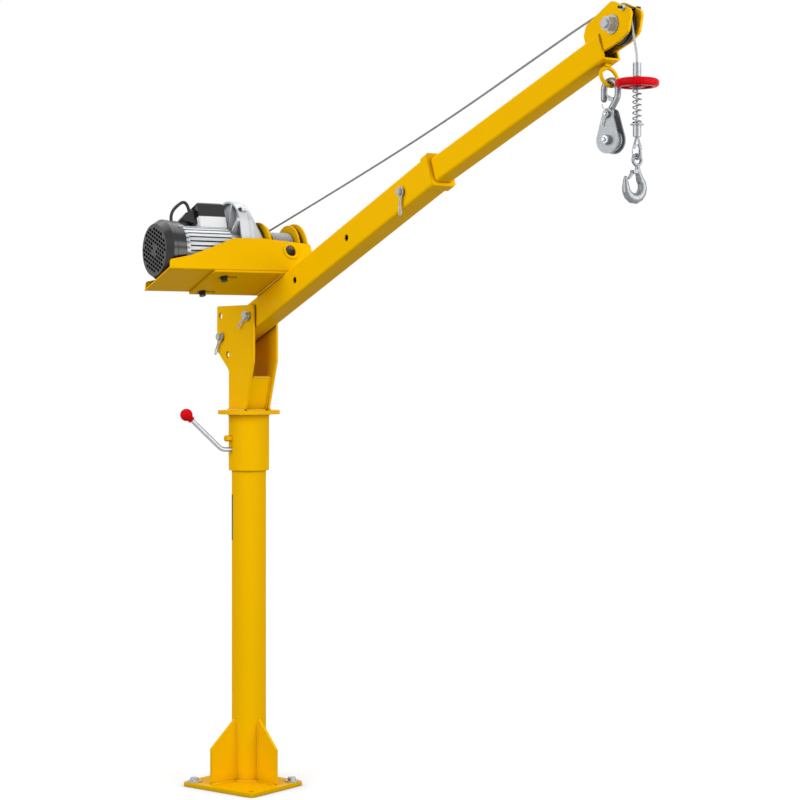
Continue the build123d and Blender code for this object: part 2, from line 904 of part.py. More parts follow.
def gearbox_case():
    # open bell behind a ribbed rim: the motor's flange, a web with the bearings, and ribs between
    ring = case_split - case_ring_w
    web = case_split - case_web_t
    body = slab_y(case_outline(case_rim), ring, case_split)
    body -= slab_y(case_outline(case_rim - case_ring_t), ring, web)
    body += rod_y(bell_r, hoist_s, motor_v, case_left, web)
    body += rod_y(counter_bearing_r + boss_rim, hoist_s, counter_v, web - boss_step, web)
    for angle in rib_angles:
        reach = case_top_r + counter_v - motor_v
        rib = Polygon((rib_left, 0), (web, 0), (web, reach), (ring, reach), (rib_left, bell_r), align=None)
        rib = Rot(0, 90 - angle, 0) * slab_x(rib, -rib_t / 2, rib_t / 2)
        body += Pos(hoist_s, 0, motor_v) * rib & slab_y(case_outline(case_rim), case_left, case_split)
    for lug in rim_lugs(case_split - case_web_t, case_split):
        body += lug
    body -= rod_y(bell_r - case_wall, hoist_s, motor_v, case_left, web - case_wall)
    body -= rod_y(bearing_r, hoist_s, motor_v, case_left, case_split)
    body -= rod_y(counter_bearing_r, hoist_s, counter_v, web, case_split)
    return boom_place * body


def tapered(near, far, y_near, y_far):
    # a shape that shrinks from one outline to another along the shaft line
    return loft([Plane.XZ.offset(-y_near) * near, Plane.XZ.offset(-y_far) * far])


def gearbox_cover():
    # full rim, a short straight neck and then a slope down to the drum shaft
    near = case_outline(0)
    top_v, top_r = cover_end_top
    far = egg(top_v, top_r, cover_end_low_r)
    body = slab_y(case_outline(case_rim), case_split, case_split + case_rim_t)
    body += slab_y(near, case_split, cover_neck)
    body += tapered(near, far, cover_neck, side_left)
    for lug in rim_lugs(case_split, case_split + case_rim_t):
        body += lug
    part = (cover_back - cover_neck) / (side_left - cover_neck)
    hollow = case_outline(-case_wall)
    back = egg(counter_v + part * (top_v - counter_v), case_top_r + part * (top_r - case_top_r) - case_wall,
               case_low_r + part * (cover_end_low_r - case_low_r) - case_wall)
    body -= slab_y(hollow, case_split, cover_neck)
    body -= tapered(hollow, back, cover_neck, cover_back)
    body -= rod_y(bearing_r, hoist_s, drum_v, cover_neck, side_left)
    body -= rod_y(counter_bearing_r, hoist_s, counter_v, cover_back - case_wall, cover_back + case_wall)
    return boom_place * body


def shaft_bearings():
    shield = (shield_left + shield_lip, housing_left)
    case = (case_split - case_web_t, case_split)
    cover = (cover_back, cover_back + case_wall)
    end = (side_left - 2 * case_wall, side_left)
    side = (side_right, side_right + side_t)
    places = ((motor_v, bearing_r, shaft_r, shield), (motor_v, bearing_r, shaft_r, case),
              (counter_v, counter_bearing_r, shaft_r, case), (counter_v, counter_bearing_r, shaft_r, cover),
              (drum_v, bearing_r, drum_shaft_r, end), (drum_v, bearing_r, drum_shaft_r, side))
    return [boom_place * pipe_y(outer, bore + run_gap, hoist_s, v, *span) for v, outer, bore, span in places]


def coil_route(radius, pitch, turns, straight):
    # turns about the y line from pairs of arcs, with a short straight run at each end
    steps = int(2 * turns)
    climb = pitch / (2 * math.pi * radius)

    def place(step):
        angle = math.pi * step
        return Vector(radius * math.sin(angle), -pitch * step / 2, radius * math.cos(angle))

    def heading(step):
        angle = math.pi * step
        return Vector(math.cos(angle), -climb, -math.sin(angle)).normalized()

    edges = [Line(place(0) - heading(0) * straight, place(0))]
    for step in range(steps):
        start, end = place(step), place(step + 1)
        t0, t1 = heading(step), heading(step + 1)
        chord = end - start
        a = 2 * (t0.dot(t1) - 1)
        b = -2 * chord.dot(t0 + t1)
        c = chord.dot(chord)
        reach = (-b - math.sqrt(b * b - 4 * a * c)) / (2 * a)
        first = start + t0 * reach
        second = end - t1 * reach
        middle = (first + second) * 0.5
        edges.append(TangentArc(start, middle, tangent=t0))
        edges.append(TangentArc(middle, end, tangent=second - first))
    edges.append(Line(place(steps), place(steps) + heading(steps) * straight))
    return Wire(edges)


def coil_gap(route, turns, radius):
    # least clear space between one turn and the next
    samples = int(turns * 24)
    points = [route @ (i / samples) for i in range(samples + 1)]
    least = min((points[i] - points[j]).length for i in range(samples + 1) for j in range(i + 16, samples + 1))
    return least - 2 * radius


def rope_winding():
    route = coil_route(winding_r, rope_pitch, rope_turns, 2 * rope_r)
    print("least gap between rope turns", round(coil_gap(route, rope_turns, rope_r), 2))
    return boom_place * Pos(hoist_s, winding_right, drum_v) * wire(rope_r, route)


def rope_line():
    # straight run from the top of the drum to the top of the head sheave
    drum = boom_point(hoist_s, drum_v)
    head = head_axle()
    dx, dz = head[0] - drum[0], head[1] - drum[1]
    lean = math.atan2(dz, dx) + math.asin((sheave_pitch_r - winding_r) / math.hypot(dx, dz))
    up = (-math.sin(lean), math.cos(lean))
    start = Vector(drum[0] + winding_r * up[0], run_y, drum[1] + winding_r * up[1])
    end = Vector(head[0] + sheave_pitch_r * up[0], 0, head[1] + sheave_pitch_r * up[1])
    return start, end, math.degrees(lean) + 90


def head_axle():
    return inner_point(inner_reach + axle_reach, axle_rise)


def rope_run():
    start, end, lean = rope_line()
    way = (end - start).normalized()
    return rod(rope_r, tuple(start), tuple(end - way * rope_gap))


def sheave_point(angle):
    x, z = head_axle()
    return Vector(x + sheave_pitch_r * math.cos(math.radians(angle)), 0,
                  z + sheave_pitch_r * math.sin(math.radians(angle)))


def sheave_arc(first, last):
    return ThreePointArc(sheave_point(first), sheave_point((first + last) / 2), sheave_point(last))


def rope_over_sheave():
    start, end, lean = rope_line()
    return wire(rope_r, sheave_arc(lean, wrap_end))


def hang_line():
    # where the rope leaves the sheave, where it bends to plumb, and the top of the load line
    leave = sheave_point(lead_lean)
    lean = math.radians(lead_lean)
    bend = leave + Vector(math.sin(lean), 0, -math.cos(lean)) * lead_drop
    return leave, bend, bend - Vector(0, 0, line_tail)


def rope_lead():
    leave, bend, end = hang_line()
    skip = math.degrees(rope_gap / sheave_pitch_r)
    straight = FilletPolyline(leave, bend, end, radius=line_bend_r)
    return wire(rope_r, Wire([sheave_arc(wrap_end - skip, lead_lean)] + straight.edges()))


def sheave(rim_r, pitch_r, width, bore_r, hub_r, hub_w, seat_r):
    # grooved wheel about the y line
    wheel = rod_y(rim_r, 0, 0, -width / 2, width / 2) + rod_y(hub_r, 0, 0, -hub_w / 2, hub_w / 2)
    mouth = rim_r - pitch_r + 1
    groove = Pos(pitch_r, 0) * Circle(seat_r)
    groove += Pos(pitch_r, 0) * Polygon((0, -seat_r), (mouth, -seat_r - mouth / 2), (mouth, seat_r + mouth / 2),
                                        (0, seat_r), align=None)
    return wheel - revolve(groove, Axis.Y) - rod_y(bore_r, 0, 0, -hub_w, hub_w)


def head_sheave():
    x, z = head_axle()
    wheel = sheave(sheave_rim_r, sheave_pitch_r, sheave_w, axle_r + run_gap, head_hub_r,
                   head_gap - 2 * face_gap, rope_r + rope_gap)
    return Pos(x, 0, z) * wheel


def keeper_place():
    # just outside the rope, where it comes down off the sheave
    reach = sheave_pitch_r + rope_r + keeper_r + keeper_gap
    turn = math.radians(keeper_angle)
    return inner_reach + axle_reach + reach * math.cos(turn), axle_rise + reach * math.sin(turn)


def head_plates():
    face = outline([(inner_reach + x, z) for x, z in head_edge], head_bends)
    face -= Pos(inner_reach + axle_reach, axle_rise) * Circle(axle_r)
    face -= Pos(*keeper_place()) * Circle(keeper_r)
    inner = head_gap / 2
    return [inner_place * slab_y(face, -head_outer, -inner), inner_place * slab_y(face, inner, head_outer)]


def through_bolt(radius, flats, head_t, tail_end, x, z):
    # headed bolt across both head plates
    bolt = rod_y(radius, x, z, tail_end, head_outer) + hexagon_y(flats, x, z, head_outer, head_outer + head_t)
    return inner_place * bolt


def bored_nut(radius, flats, x, z, y_from, y_to):
    return inner_place * (hexagon_y(flats, x, z, y_from, y_to) - rod_y(radius, x, z, y_from, y_to))


def head_bolts():
    # the sheave's axle bolt with its washer and nut, and the keeper's nut, on the lever side
    x, z = inner_reach + axle_reach, axle_rise
    seat = -head_outer - axle_washer_t
    bolt = through_bolt(axle_r, axle_flats, axle_head_t, seat - axle_nut_t - axle_tail, x, z)
    washer = inner_place * pipe_y(axle_washer_r, axle_r, x, z, seat, -head_outer)
    nut = bored_nut(axle_r, axle_flats, x, z, seat - axle_nut_t, seat)
    keeper_nut = bored_nut(keeper_r, keeper_flats, *keeper_place(), -head_outer - keeper_nut_t, -head_outer)
    return [bolt, washer, nut, keeper_nut]


def keeper_bolt():
    tail_end = -head_outer - keeper_nut_t - keeper_tail
    return through_bolt(keeper_r, keeper_flats, keeper_nut_t, tail_end, *keeper_place())


def hanging_ring():
    x = inner_reach - ring_back
    ring = Pos(x, 0, -ring_drop) * Rot(0, 90, 0) * Torus(ring_r, ring_wire_r)
    low = -ring_drop + ring_r
    long, wide = ring_tab
    tab = block((x - long / 2, x + long / 2), (-wide / 2, wide / 2), (low, -inner_h / 2))
    return inner_place * (ring + tab)


def line_levels():
    # heights down the load line, from the top ferrule to the end of the rope loop
    top = hang_line()[2].Z
    ferrule = top - ferrule_h
    disc = ferrule - disc_drop
    spring = disc - disc_t
    washer = spring - spring_h
    low = washer - line_washer_t
    loop = low - low_ferrule_h
    return top, ferrule, disc, spring, washer, low, loop


def on_line(z):
    return (hang_line()[2].X, 0, z)


def loop_route(points, bend):
    # half of a drop shape, carried round its rounded bottom and up the other side
    x = hang_line()[2].X
    wide = -points[-1][0]
    flat = points + tuple((-u, z) for u, z in reversed(points))
    bends = (bend,) * (len(points) - 2) + (wide - arc_play,)
    return FilletPolyline(*[Vector(x + u, 0, z) for u, z in flat], radius=bends + tuple(reversed(bends)))


def rope_drop():
    top, ferrule, disc, spring, washer, low, loop = line_levels()
    half = ((-loop_leg, loop), (-loop_leg, loop - loop_neck), (-loop_r, loop - loop_cheek),
            (-loop_r, loop - loop_drop))
    return [rod(rope_r, on_line(low), on_line(top - rope_gap)), wire(rope_r, loop_route(half, loop_bend_r))]


def line_ferrules():
    top, ferrule, disc, spring, washer, low, loop = line_levels()
    upper = pipe(ferrule_r, rope_r, on_line(ferrule), on_line(top - rope_gap))
    lower = rod(ferrule_r, on_line(loop), on_line(low))
    ring = pipe(line_washer_r, rope_r, on_line(low), on_line(washer))
    return [upper, lower, ring]


def limit_disc():
    top, ferrule, disc, spring, washer, low, loop = line_levels()
    body = rod(disc_r, on_line(spring), on_line(disc))
    body = fillet(body.edges().filter_by(GeomType.CIRCLE), disc_round)
    hub_r, rim_r = disc_dish
    body -= pipe(rim_r, hub_r, on_line(spring), on_line(spring + disc_dish_d))
    body -= pipe(rim_r, hub_r, on_line(disc - disc_dish_d), on_line(disc))
    return body - rod(rope_r + rope_gap, on_line(spring), on_line(disc))


def limit_spring():
    top, ferrule, disc, spring, washer, low, loop = line_levels()
    climb = spring_h - 2 * spring_end
    pitch = climb / spring_turns
    route = coil_route(spring_r, pitch, spring_turns, 2 * spring_wire_r)
    print("least gap between spring turns", round(coil_gap(route, spring_turns, spring_wire_r), 2))
    x, y, z = on_line(spring - spring_end)
    return Pos(x, y, z) * Rot(90, 0, 0) * wire(spring_wire_r, route)


def rope_thimble():
    # thin curved lining of the rope loop, open below the ferrule
    top = line_levels()[6]
    inset = rope_r + rope_gap + thimble_t / 2
    lean = math.atan2(loop_r - loop_leg, loop_cheek - loop_neck)
    wide = loop_r - inset
    shift = inset * math.tan(lean / 2)
    cheek = loop_cheek + shift
    rise = thimble_arm
    half = ((-wide + rise * math.tan(lean), top - cheek + rise), (-wide, top - cheek),
            (-wide, top - loop_drop + inset))
    route = loop_route(half, loop_bend_r - inset)
    flat = Plane(origin=route @ 0, x_dir=(0, 1, 0), z_dir=route % 0)
    return sweep(flat * Rectangle(thimble_w, thimble_t), route)


def hook_eye():
    return hang_line()[2].X, line_levels()[6] - loop_drop - hook_eye_set


def hook_sections():
    # place about the eye, thickness and heading of the load hook from its neck to its tip
    down = -90
    sections = [(0, -hook_eye_r, hook_neck_r, down),
                (hook_neck_r / 2, -hook_neck_drop, hook_neck_grow * hook_neck_r, down + hook_neck_lean)]
    first, last = hook_sweep
    for step in range(hook_steps + 1):
        angle = first + (last - first) * step / hook_steps
        fall = hook_fall_neck if angle > -90 else hook_fall_tip
        thick = hook_bowl_r - fall * abs(angle + 90)
        reach = hook_throat_r + thick
        turn = math.radians(angle)
        place = (hook_bowl_y + reach * math.cos(turn), -hook_bowl_drop + reach * math.sin(turn))
        sections.append((*place, thick, angle + down))
    tip_y = sections[-1][0]
    sections.append((tip_y - hook_tip_lean, -hook_bowl_drop + hook_tip_rise, hook_tip_r, -down))
    return sections


def load_hook():
    faces = []
    for x, rise, radius, lean in hook_sections():
        way = (math.cos(math.radians(lean)), 0, math.sin(math.radians(lean)))
        faces.append(Plane(origin=(x, 0, rise), x_dir=(0, 1, 0), z_dir=way) * Circle(radius))
    body = loft(faces, ruled=True)
    x, rise, radius, lean = hook_sections()[-1]
    body += Pos(x, 0, rise) * Sphere(radius)
    body += Rot(90, 0, 0) * Torus(hook_eye_r, hook_eye_wire_r)
    body += latch_ears(*hook_latch_spot)
    return hook_place() * (body - latch_bore(*hook_latch_spot))


def hook_place():
    # the hook hangs across the boom and opens towards the lever side
    x, z = hook_eye()
    return Pos(x, 0, z) * Rot(0, 0, 90)


def latch_ears(x, z):
    # pair of ears beside the tongue, joined to the bar next to them
    ears = Part()
    for side in (-1, 1):
        span = sorted((side * ear_in, side * ear_out))
        ears += rod_y(ear_r, x, z, *span) + block((x, x + ear_reach), span, (z - ear_r, z + ear_r))
    return ears


def latch_bore(x, z):
    return rod_y(latch_pin_r + run_gap, x, z, -2 * ear_out, 2 * ear_out)


def latch_tongue(x, z, tip_x, tip_z):
    root = Pos(x, z) * Circle(latch_root_r)
    tip = Pos(tip_x, tip_z) * Circle(latch_tip_r)
    tongue = slab_y(make_hull(root.edges() + tip.edges()), -latch_half, latch_half)
    return tongue + rod_y(latch_pin_r, x, z, -ear_out, ear_out)


def hook_latch():
    # sprung tongue from the neck to the inside of the tip
    return hook_place() * latch_tongue(*hook_latch_spot, *hook_latch_tip)


def ring_low():
    return inner_point(inner_reach - ring_back, -ring_drop - ring_r)


def block_place():
    x, z = ring_low()
    return Pos(x, 0, z) * Rot(0, 0, block_turn)


def bowl_z():
    return ring_wire_r + face_gap - (block_hook_r - block_bar_r)


def block_hook():
    # bar that rises on one side, goes over through the ring and comes down to a short tip
    r = block_hook_r
    top = bowl_z()
    foot = -block_top - 1.25 * block_pin_r
    tip = top - block_tip_drop
    out, drop, neck = block_sweep
    route = FilletPolyline(Vector(0, 0, foot), Vector(0, 0, -block_top + neck), Vector(out, 0, top - drop),
                           Vector(r, 0, top + r), Vector(-r, 0, top + r), Vector(-r, 0, tip),
                           radius=(block_bend_r, block_sweep_r, r - 4 * arc_play, r - arc_play))
    body = cord(block_bar_r, route) + Pos(-r, 0, tip) * Sphere(block_bar_r)
    body += latch_ears(*block_latch_spot())
    body -= latch_bore(*block_latch_spot())
    return block_place() * (body - rod_y(block_pin_r, 0, -block_top, -block_gap, block_gap))


def block_latch_spot():
    return block_latch_x, bowl_z() - block_latch_drop


def block_latch():
    tip = (-block_hook_r + block_bar_r + latch_tip_r + latch_play,
           bowl_z() - block_latch_drop + block_latch_rise)
    return block_place() * latch_tongue(*block_latch_spot(), *tip)


def block_plates():
    top = Pos(0, -block_top) * Circle(block_top_r)
    low = Pos(0, -block_axle) * Circle(block_low_r)
    face = make_hull(top.edges() + low.edges())
    face -= Pos(0, -block_top) * Circle(block_pin_r)
    face -= Pos(0, -block_axle) * Circle(block_axle_r)
    half = block_gap / 2
    outer = half + block_plate_t
    pieces = [slab_y(face, -outer, -half), slab_y(face, half, outer)]
    pins = ((block_pin_r, block_top, block_pin_rim), (block_axle_r, block_axle, block_axle_rim))
    for radius, drop, rim in pins:
        pin = rod_y(radius, 0, -drop, -outer, outer)
        pin += rod_y(radius + rim, 0, -drop, outer, outer + block_head_t)
        pin += rod_y(radius + rim, 0, -drop, -outer - block_tail_t, -outer)
        pieces.append(pin)
    return [block_place() * piece for piece in pieces]


def block_sheave():
    rim_w = block_gap - 2 * block_sheave_gap
    hub_w = block_gap - 2 * face_gap
    wheel = sheave(block_sheave_r, block_sheave_pitch_r, rim_w, block_axle_r + run_gap, block_hub_r, hub_w,
                   rope_r + rope_gap)
    return block_place() * Pos(0, 0, -block_axle) * wheel


pieces = (base_plate, base_gussets, post_tube, post_cap, anchor_fasteners, thrust_washer, swivel_sleeve,
          sleeve_bushes, swivel_flange, clamp_lever, lever_knob, cheek_plates, cheek_web, pivot_pin, lock_pin,
          outer_boom, boom_collar, pivot_bush, extension_pin, inner_boom, hoist_mount_plate, hoist_tray,
          tray_fasteners, drum_side_plates, winch_drum, drum_gear, countershaft, rotor_shaft, cooling_fan, stator,
          motor_housing, end_shield, fan_cover, capacitor_box, capacitor_lid, cable_gland, motor_lead,
          gearbox_case, gearbox_cover, shaft_bearings, rope_winding, rope_run, rope_over_sheave, rope_lead,
          head_sheave, head_plates, head_bolts, keeper_bolt, hanging_ring, rope_drop, line_ferrules, limit_disc,
          limit_spring, rope_thimble, load_hook, hook_latch, block_plates, block_hook, block_latch, block_sheave)

for piece in pieces:
    shape = piece()
    if isinstance(shape, list):
        shape = Compound(children=[Part() + solid for solid in shape])
    export_step(shape, "parts/" + piece.__name__ + ".step")
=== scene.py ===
import json
import math

import bpy
from mathutils import Matrix, Vector


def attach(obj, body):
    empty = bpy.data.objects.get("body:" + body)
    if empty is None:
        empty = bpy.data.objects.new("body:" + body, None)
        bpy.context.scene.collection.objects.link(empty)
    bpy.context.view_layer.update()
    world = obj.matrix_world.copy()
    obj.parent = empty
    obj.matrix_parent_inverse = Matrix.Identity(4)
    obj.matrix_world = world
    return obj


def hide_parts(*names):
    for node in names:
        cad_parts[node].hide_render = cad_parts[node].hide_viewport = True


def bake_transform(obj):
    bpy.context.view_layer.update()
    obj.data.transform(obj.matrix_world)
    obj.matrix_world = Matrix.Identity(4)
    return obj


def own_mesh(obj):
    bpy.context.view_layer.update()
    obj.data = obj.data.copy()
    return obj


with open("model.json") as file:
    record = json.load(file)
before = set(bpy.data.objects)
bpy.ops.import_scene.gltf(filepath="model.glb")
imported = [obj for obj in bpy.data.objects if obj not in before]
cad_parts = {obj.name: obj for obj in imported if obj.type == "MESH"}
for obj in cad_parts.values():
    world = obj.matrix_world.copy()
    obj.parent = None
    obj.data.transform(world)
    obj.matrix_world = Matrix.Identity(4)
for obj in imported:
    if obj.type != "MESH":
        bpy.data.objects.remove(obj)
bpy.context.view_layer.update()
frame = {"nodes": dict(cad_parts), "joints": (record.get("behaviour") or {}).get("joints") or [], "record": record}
cadNodes = frame["nodes"]
joints = {joint["name"]: joint for joint in frame["joints"]}
print("crane frame loaded,", len(cadNodes), "pieces")


def mm(*place):
    return Vector(place) / 1000


def deselectAll():
    bpy.ops.object.select_all(action="DESELECT")


def makeActive(piece):
    deselectAll()
    piece.select_set(True)
    bpy.context.view_layer.objects.active = piece


def dress(piece, material, body=None):
    # finish of a new piece, and the body that it moves with
    piece.data.materials.clear()
    piece.data.materials.append(material)
    if body:
        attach(piece, body)


# the boom's own directions, from its pivot
boomPlan = {"pivot": joints["boom_tilt"]["pos_m"], "rise": 21}
boomTurn = Matrix.Translation(boomPlan["pivot"]) @ Matrix.Rotation(-math.radians(boomPlan["rise"]), 4, "Y")


def onBoom(along, across, above):
    return boomTurn @ mm(along, across, above)


# camera, level, from the fan end of the hoist
cameraPlan = {"place": (4.6167, -2.5889, 1.0949), "heading": 56.47, "lens": 91.54, "sensor": 36, "lift": -0.0504}
deselectAll()
bpy.ops.object.camera_add(location=cameraPlan["place"],
                          rotation=(math.radians(90), 0, math.radians(cameraPlan["heading"])))
camera = bpy.context.object
camera.name = "photoCamera"
camera.data.sensor_width = cameraPlan["sensor"]
camera.data.lens = cameraPlan["lens"]
camera.data.shift_y = cameraPlan["lift"]
bpy.context.scene.camera = camera
bpy.context.scene.view_settings.view_transform = "Standard"
cameraLeft = -(camera.rotation_euler.to_matrix() @ Vector((1, 0, 0)))
cameraBack = camera.rotation_euler.to_matrix() @ Vector((0, 0, 1))
print("camera set")


# materials
def linearColour(hexText):
    parts = [int(hexText[i:i + 2], 16) / 255 for i in (1, 3, 5)]
    return tuple(p / 12.92 if p <= 0.04045 else ((p + 0.055) / 1.055) ** 2.4 for p in parts) + (1,)


def perMetre(size):
    # texture scale for a pattern that repeats about every so many millimetres
    return 1000 / size


def addNode(tree, kind, settings={}, values={}, links={}):
    node = tree.nodes.new(kind)
    for name, value in settings.items():
        setattr(node, name, value)
    for name, value in values.items():
        node.inputs[name].default_value = value
    for name, socket in links.items():
        tree.links.new(socket, node.inputs[name])
    return node


def startMaterial(name):
    material = bpy.data.materials.new(name)
    material.use_nodes = True
    tree = material.node_tree
    tree.nodes.clear()
    shader = addNode(tree, "ShaderNodeBsdfPrincipled")
    addNode(tree, "ShaderNodeOutputMaterial", links={"Surface": shader.outputs["BSDF"]})
    place = addNode(tree, "ShaderNodeTexCoord").outputs["Object"]
    return material, tree, shader, place


def coverShader(tree, shader, colour, roughness, normal):
    # the three sockets that every finish on the crane drives
    for socket, source in (("Base Color", colour), ("Roughness", roughness), ("Normal", normal)):
        tree.links.new(source, shader.inputs[socket])


def powderCoat(name, sheen, gloss, shadeGaps):
    # polyester powder coat, sprayed and baked: even, with a faint orange peel and softly rounded edges
    plan = {"fresh": "#F0B900", "deep": "#E9B100", "bare": "#2E1E04", "cloud": 160, "edge": 0.0018, "ior": 1.52,
            "peel": 2.6, "peelStrength": 0.06, "peelHeight": 0.0003}
    material, tree, shader, place = startMaterial(name)
    cloud = addNode(tree, "ShaderNodeTexNoise", values={"Scale": perMetre(plan["cloud"]), "Detail": 3},
                    links={"Vector": place})
    tint = addNode(tree, "ShaderNodeMix", {"data_type": "RGBA"},
                   {6: linearColour(plan["fresh"]), 7: linearColour(plan["deep"])}, {0: cloud.outputs["Fac"]})
    # painted shade: narrow gaps and deep hollows are darkened toward a dark brown by ambient occlusion
    for reach, closed, free in shadeGaps:
        openness = addNode(tree, "ShaderNodeAmbientOcclusion", {"samples": 4}, {"Distance": reach})
        unshaded = addNode(tree, "ShaderNodeMapRange", values={"From Min": closed, "From Max": free},
                          links={"Value": openness.outputs["AO"]})
        tint = addNode(tree, "ShaderNodeMix", {"data_type": "RGBA"}, {6: linearColour(plan["bare"])},
                       {0: unshaded.outputs["Result"], 7: tint.outputs[2]})
    peel = addNode(tree, "ShaderNodeTexNoise", values={"Scale": perMetre(plan["peel"]), "Detail": 1},
                   links={"Vector": place})
    edge = addNode(tree, "ShaderNodeBevel", {"samples": 4}, {"Radius": plan["edge"]})
    bump = addNode(tree, "ShaderNodeBump", values={"Strength": plan["peelStrength"], "Distance": plan["peelHeight"]},
                   links={"Height": peel.outputs["Fac"], "Normal": edge.outputs["Normal"]})
    satin = addNode(tree, "ShaderNodeMapRange", values={"To Min": gloss[0], "To Max": gloss[1]},
                    links={"Value": cloud.outputs["Fac"]})
    coverShader(tree, shader, tint.outputs[2], satin.outputs["Result"], bump.outputs["Normal"])
    shader.inputs["IOR"].default_value = plan["ior"]
    shader.inputs["Specular IOR Level"].default_value = sheen
    return material


def metal(name, light, dark, size, rough, bumpHeight, metallic=1.0, edge=0.0005, cornerShade=None):
    # a metal whose tone and gloss drift with its surface treatment
    plan = {"grimeReach": 0.014, "bumpStrength": 0.25, "toneFrom": 0.3, "toneTo": 0.7}
    material, tree, shader, place = startMaterial(name)
    grain = addNode(tree, "ShaderNodeTexNoise", values={"Scale": perMetre(size), "Detail": 4, "Roughness": 0.6},
                    links={"Vector": place})
    tint = addNode(tree, "ShaderNodeMix", {"data_type": "RGBA"},
                   {6: linearColour(light), 7: linearColour(dark)}, {0: grain.outputs["Fac"]})
    if cornerShade:
        # painted shade: deep corners are darkened toward this colour by ambient occlusion
        openness = addNode(tree, "ShaderNodeAmbientOcclusion", {"samples": 6}, {"Distance": plan["grimeReach"]})
        tint = addNode(tree, "ShaderNodeMix", {"data_type": "RGBA"}, {6: linearColour(cornerShade)},
                       {0: openness.outputs["AO"], 7: tint.outputs[2]})
    gloss = addNode(tree, "ShaderNodeMapRange",
                    values={"From Min": plan["toneFrom"], "From Max": plan["toneTo"],
                            "To Min": rough[0], "To Max": rough[1]},
                    links={"Value": grain.outputs["Fac"]})
    rounded = addNode(tree, "ShaderNodeBevel", {"samples": 4}, {"Radius": edge})
    bump = addNode(tree, "ShaderNodeBump", values={"Strength": plan["bumpStrength"], "Distance": bumpHeight},
                   links={"Height": grain.outputs["Fac"], "Normal": rounded.outputs["Normal"]})
    coverShader(tree, shader, tint.outputs[2], gloss.outputs["Result"], bump.outputs["Normal"])
    shader.inputs["Metallic"].default_value = metallic
    return material


def plastic(name, colour, worn, grainSize, rough, bumpStrength, sheen=0.4, edge=0.0008):
    # moulded plastic or rubber: one body colour, with the fine texture of its mould
    plan = {"cloud": 40, "grainHeight": 0.0002}
    material, tree, shader, place = startMaterial(name)
    grain = addNode(tree, "ShaderNodeTexNoise", values={"Scale": perMetre(grainSize), "Detail": 2},
                    links={"Vector": place})
    cloud = addNode(tree, "ShaderNodeTexNoise", values={"Scale": perMetre(plan["cloud"]), "Detail": 2},
                    links={"Vector": place})
    tint = addNode(tree, "ShaderNodeMix", {"data_type": "RGBA"},
                   {6: linearColour(colour), 7: linearColour(worn)}, {0: cloud.outputs["Fac"]})
    gloss = addNode(tree, "ShaderNodeMapRange", values={"To Min": rough[0], "To Max": rough[1]},
                    links={"Value": cloud.outputs["Fac"]})
    rounded = addNode(tree, "ShaderNodeBevel", {"samples": 4}, {"Radius": edge})
    bump = addNode(tree, "ShaderNodeBump", values={"Strength": bumpStrength, "Distance": plan["grainHeight"]},
                   links={"Height": grain.outputs["Fac"], "Normal": rounded.outputs["Normal"]})
    coverShader(tree, shader, tint.outputs[2], gloss.outputs["Result"], bump.outputs["Normal"])
    shader.inputs["Specular IOR Level"].default_value = sheen
    return material


def galvanised(name, light, dark, metallic):
    # hot-dip galvanised steel: dull grey zinc with broad crystals
    plan = {"crystal": 4, "rough": (0.3, 0.36), "edge": 0.0006}
    material, tree, shader, place = startMaterial(name)
    crystal = addNode(tree, "ShaderNodeTexVoronoi", values={"Scale": perMetre(plan["crystal"])},
                      links={"Vector": place})
    tone = addNode(tree, "ShaderNodeRGBToBW", links={"Color": crystal.outputs["Color"]})
    tint = addNode(tree, "ShaderNodeMix", {"data_type": "RGBA"},
                   {6: linearColour(light), 7: linearColour(dark)}, {0: tone.outputs["Val"]})
    gloss = addNode(tree, "ShaderNodeMapRange", values={"To Min": plan["rough"][0], "To Max": plan["rough"][1]},
                    links={"Value": tone.outputs["Val"]})
    rounded = addNode(tree, "ShaderNodeBevel", {"samples": 4}, {"Radius": plan["edge"]})
    coverShader(tree, shader, tint.outputs[2], gloss.outputs["Result"], rounded.outputs["Normal"])
    shader.inputs["Metallic"].default_value = metallic
    return material
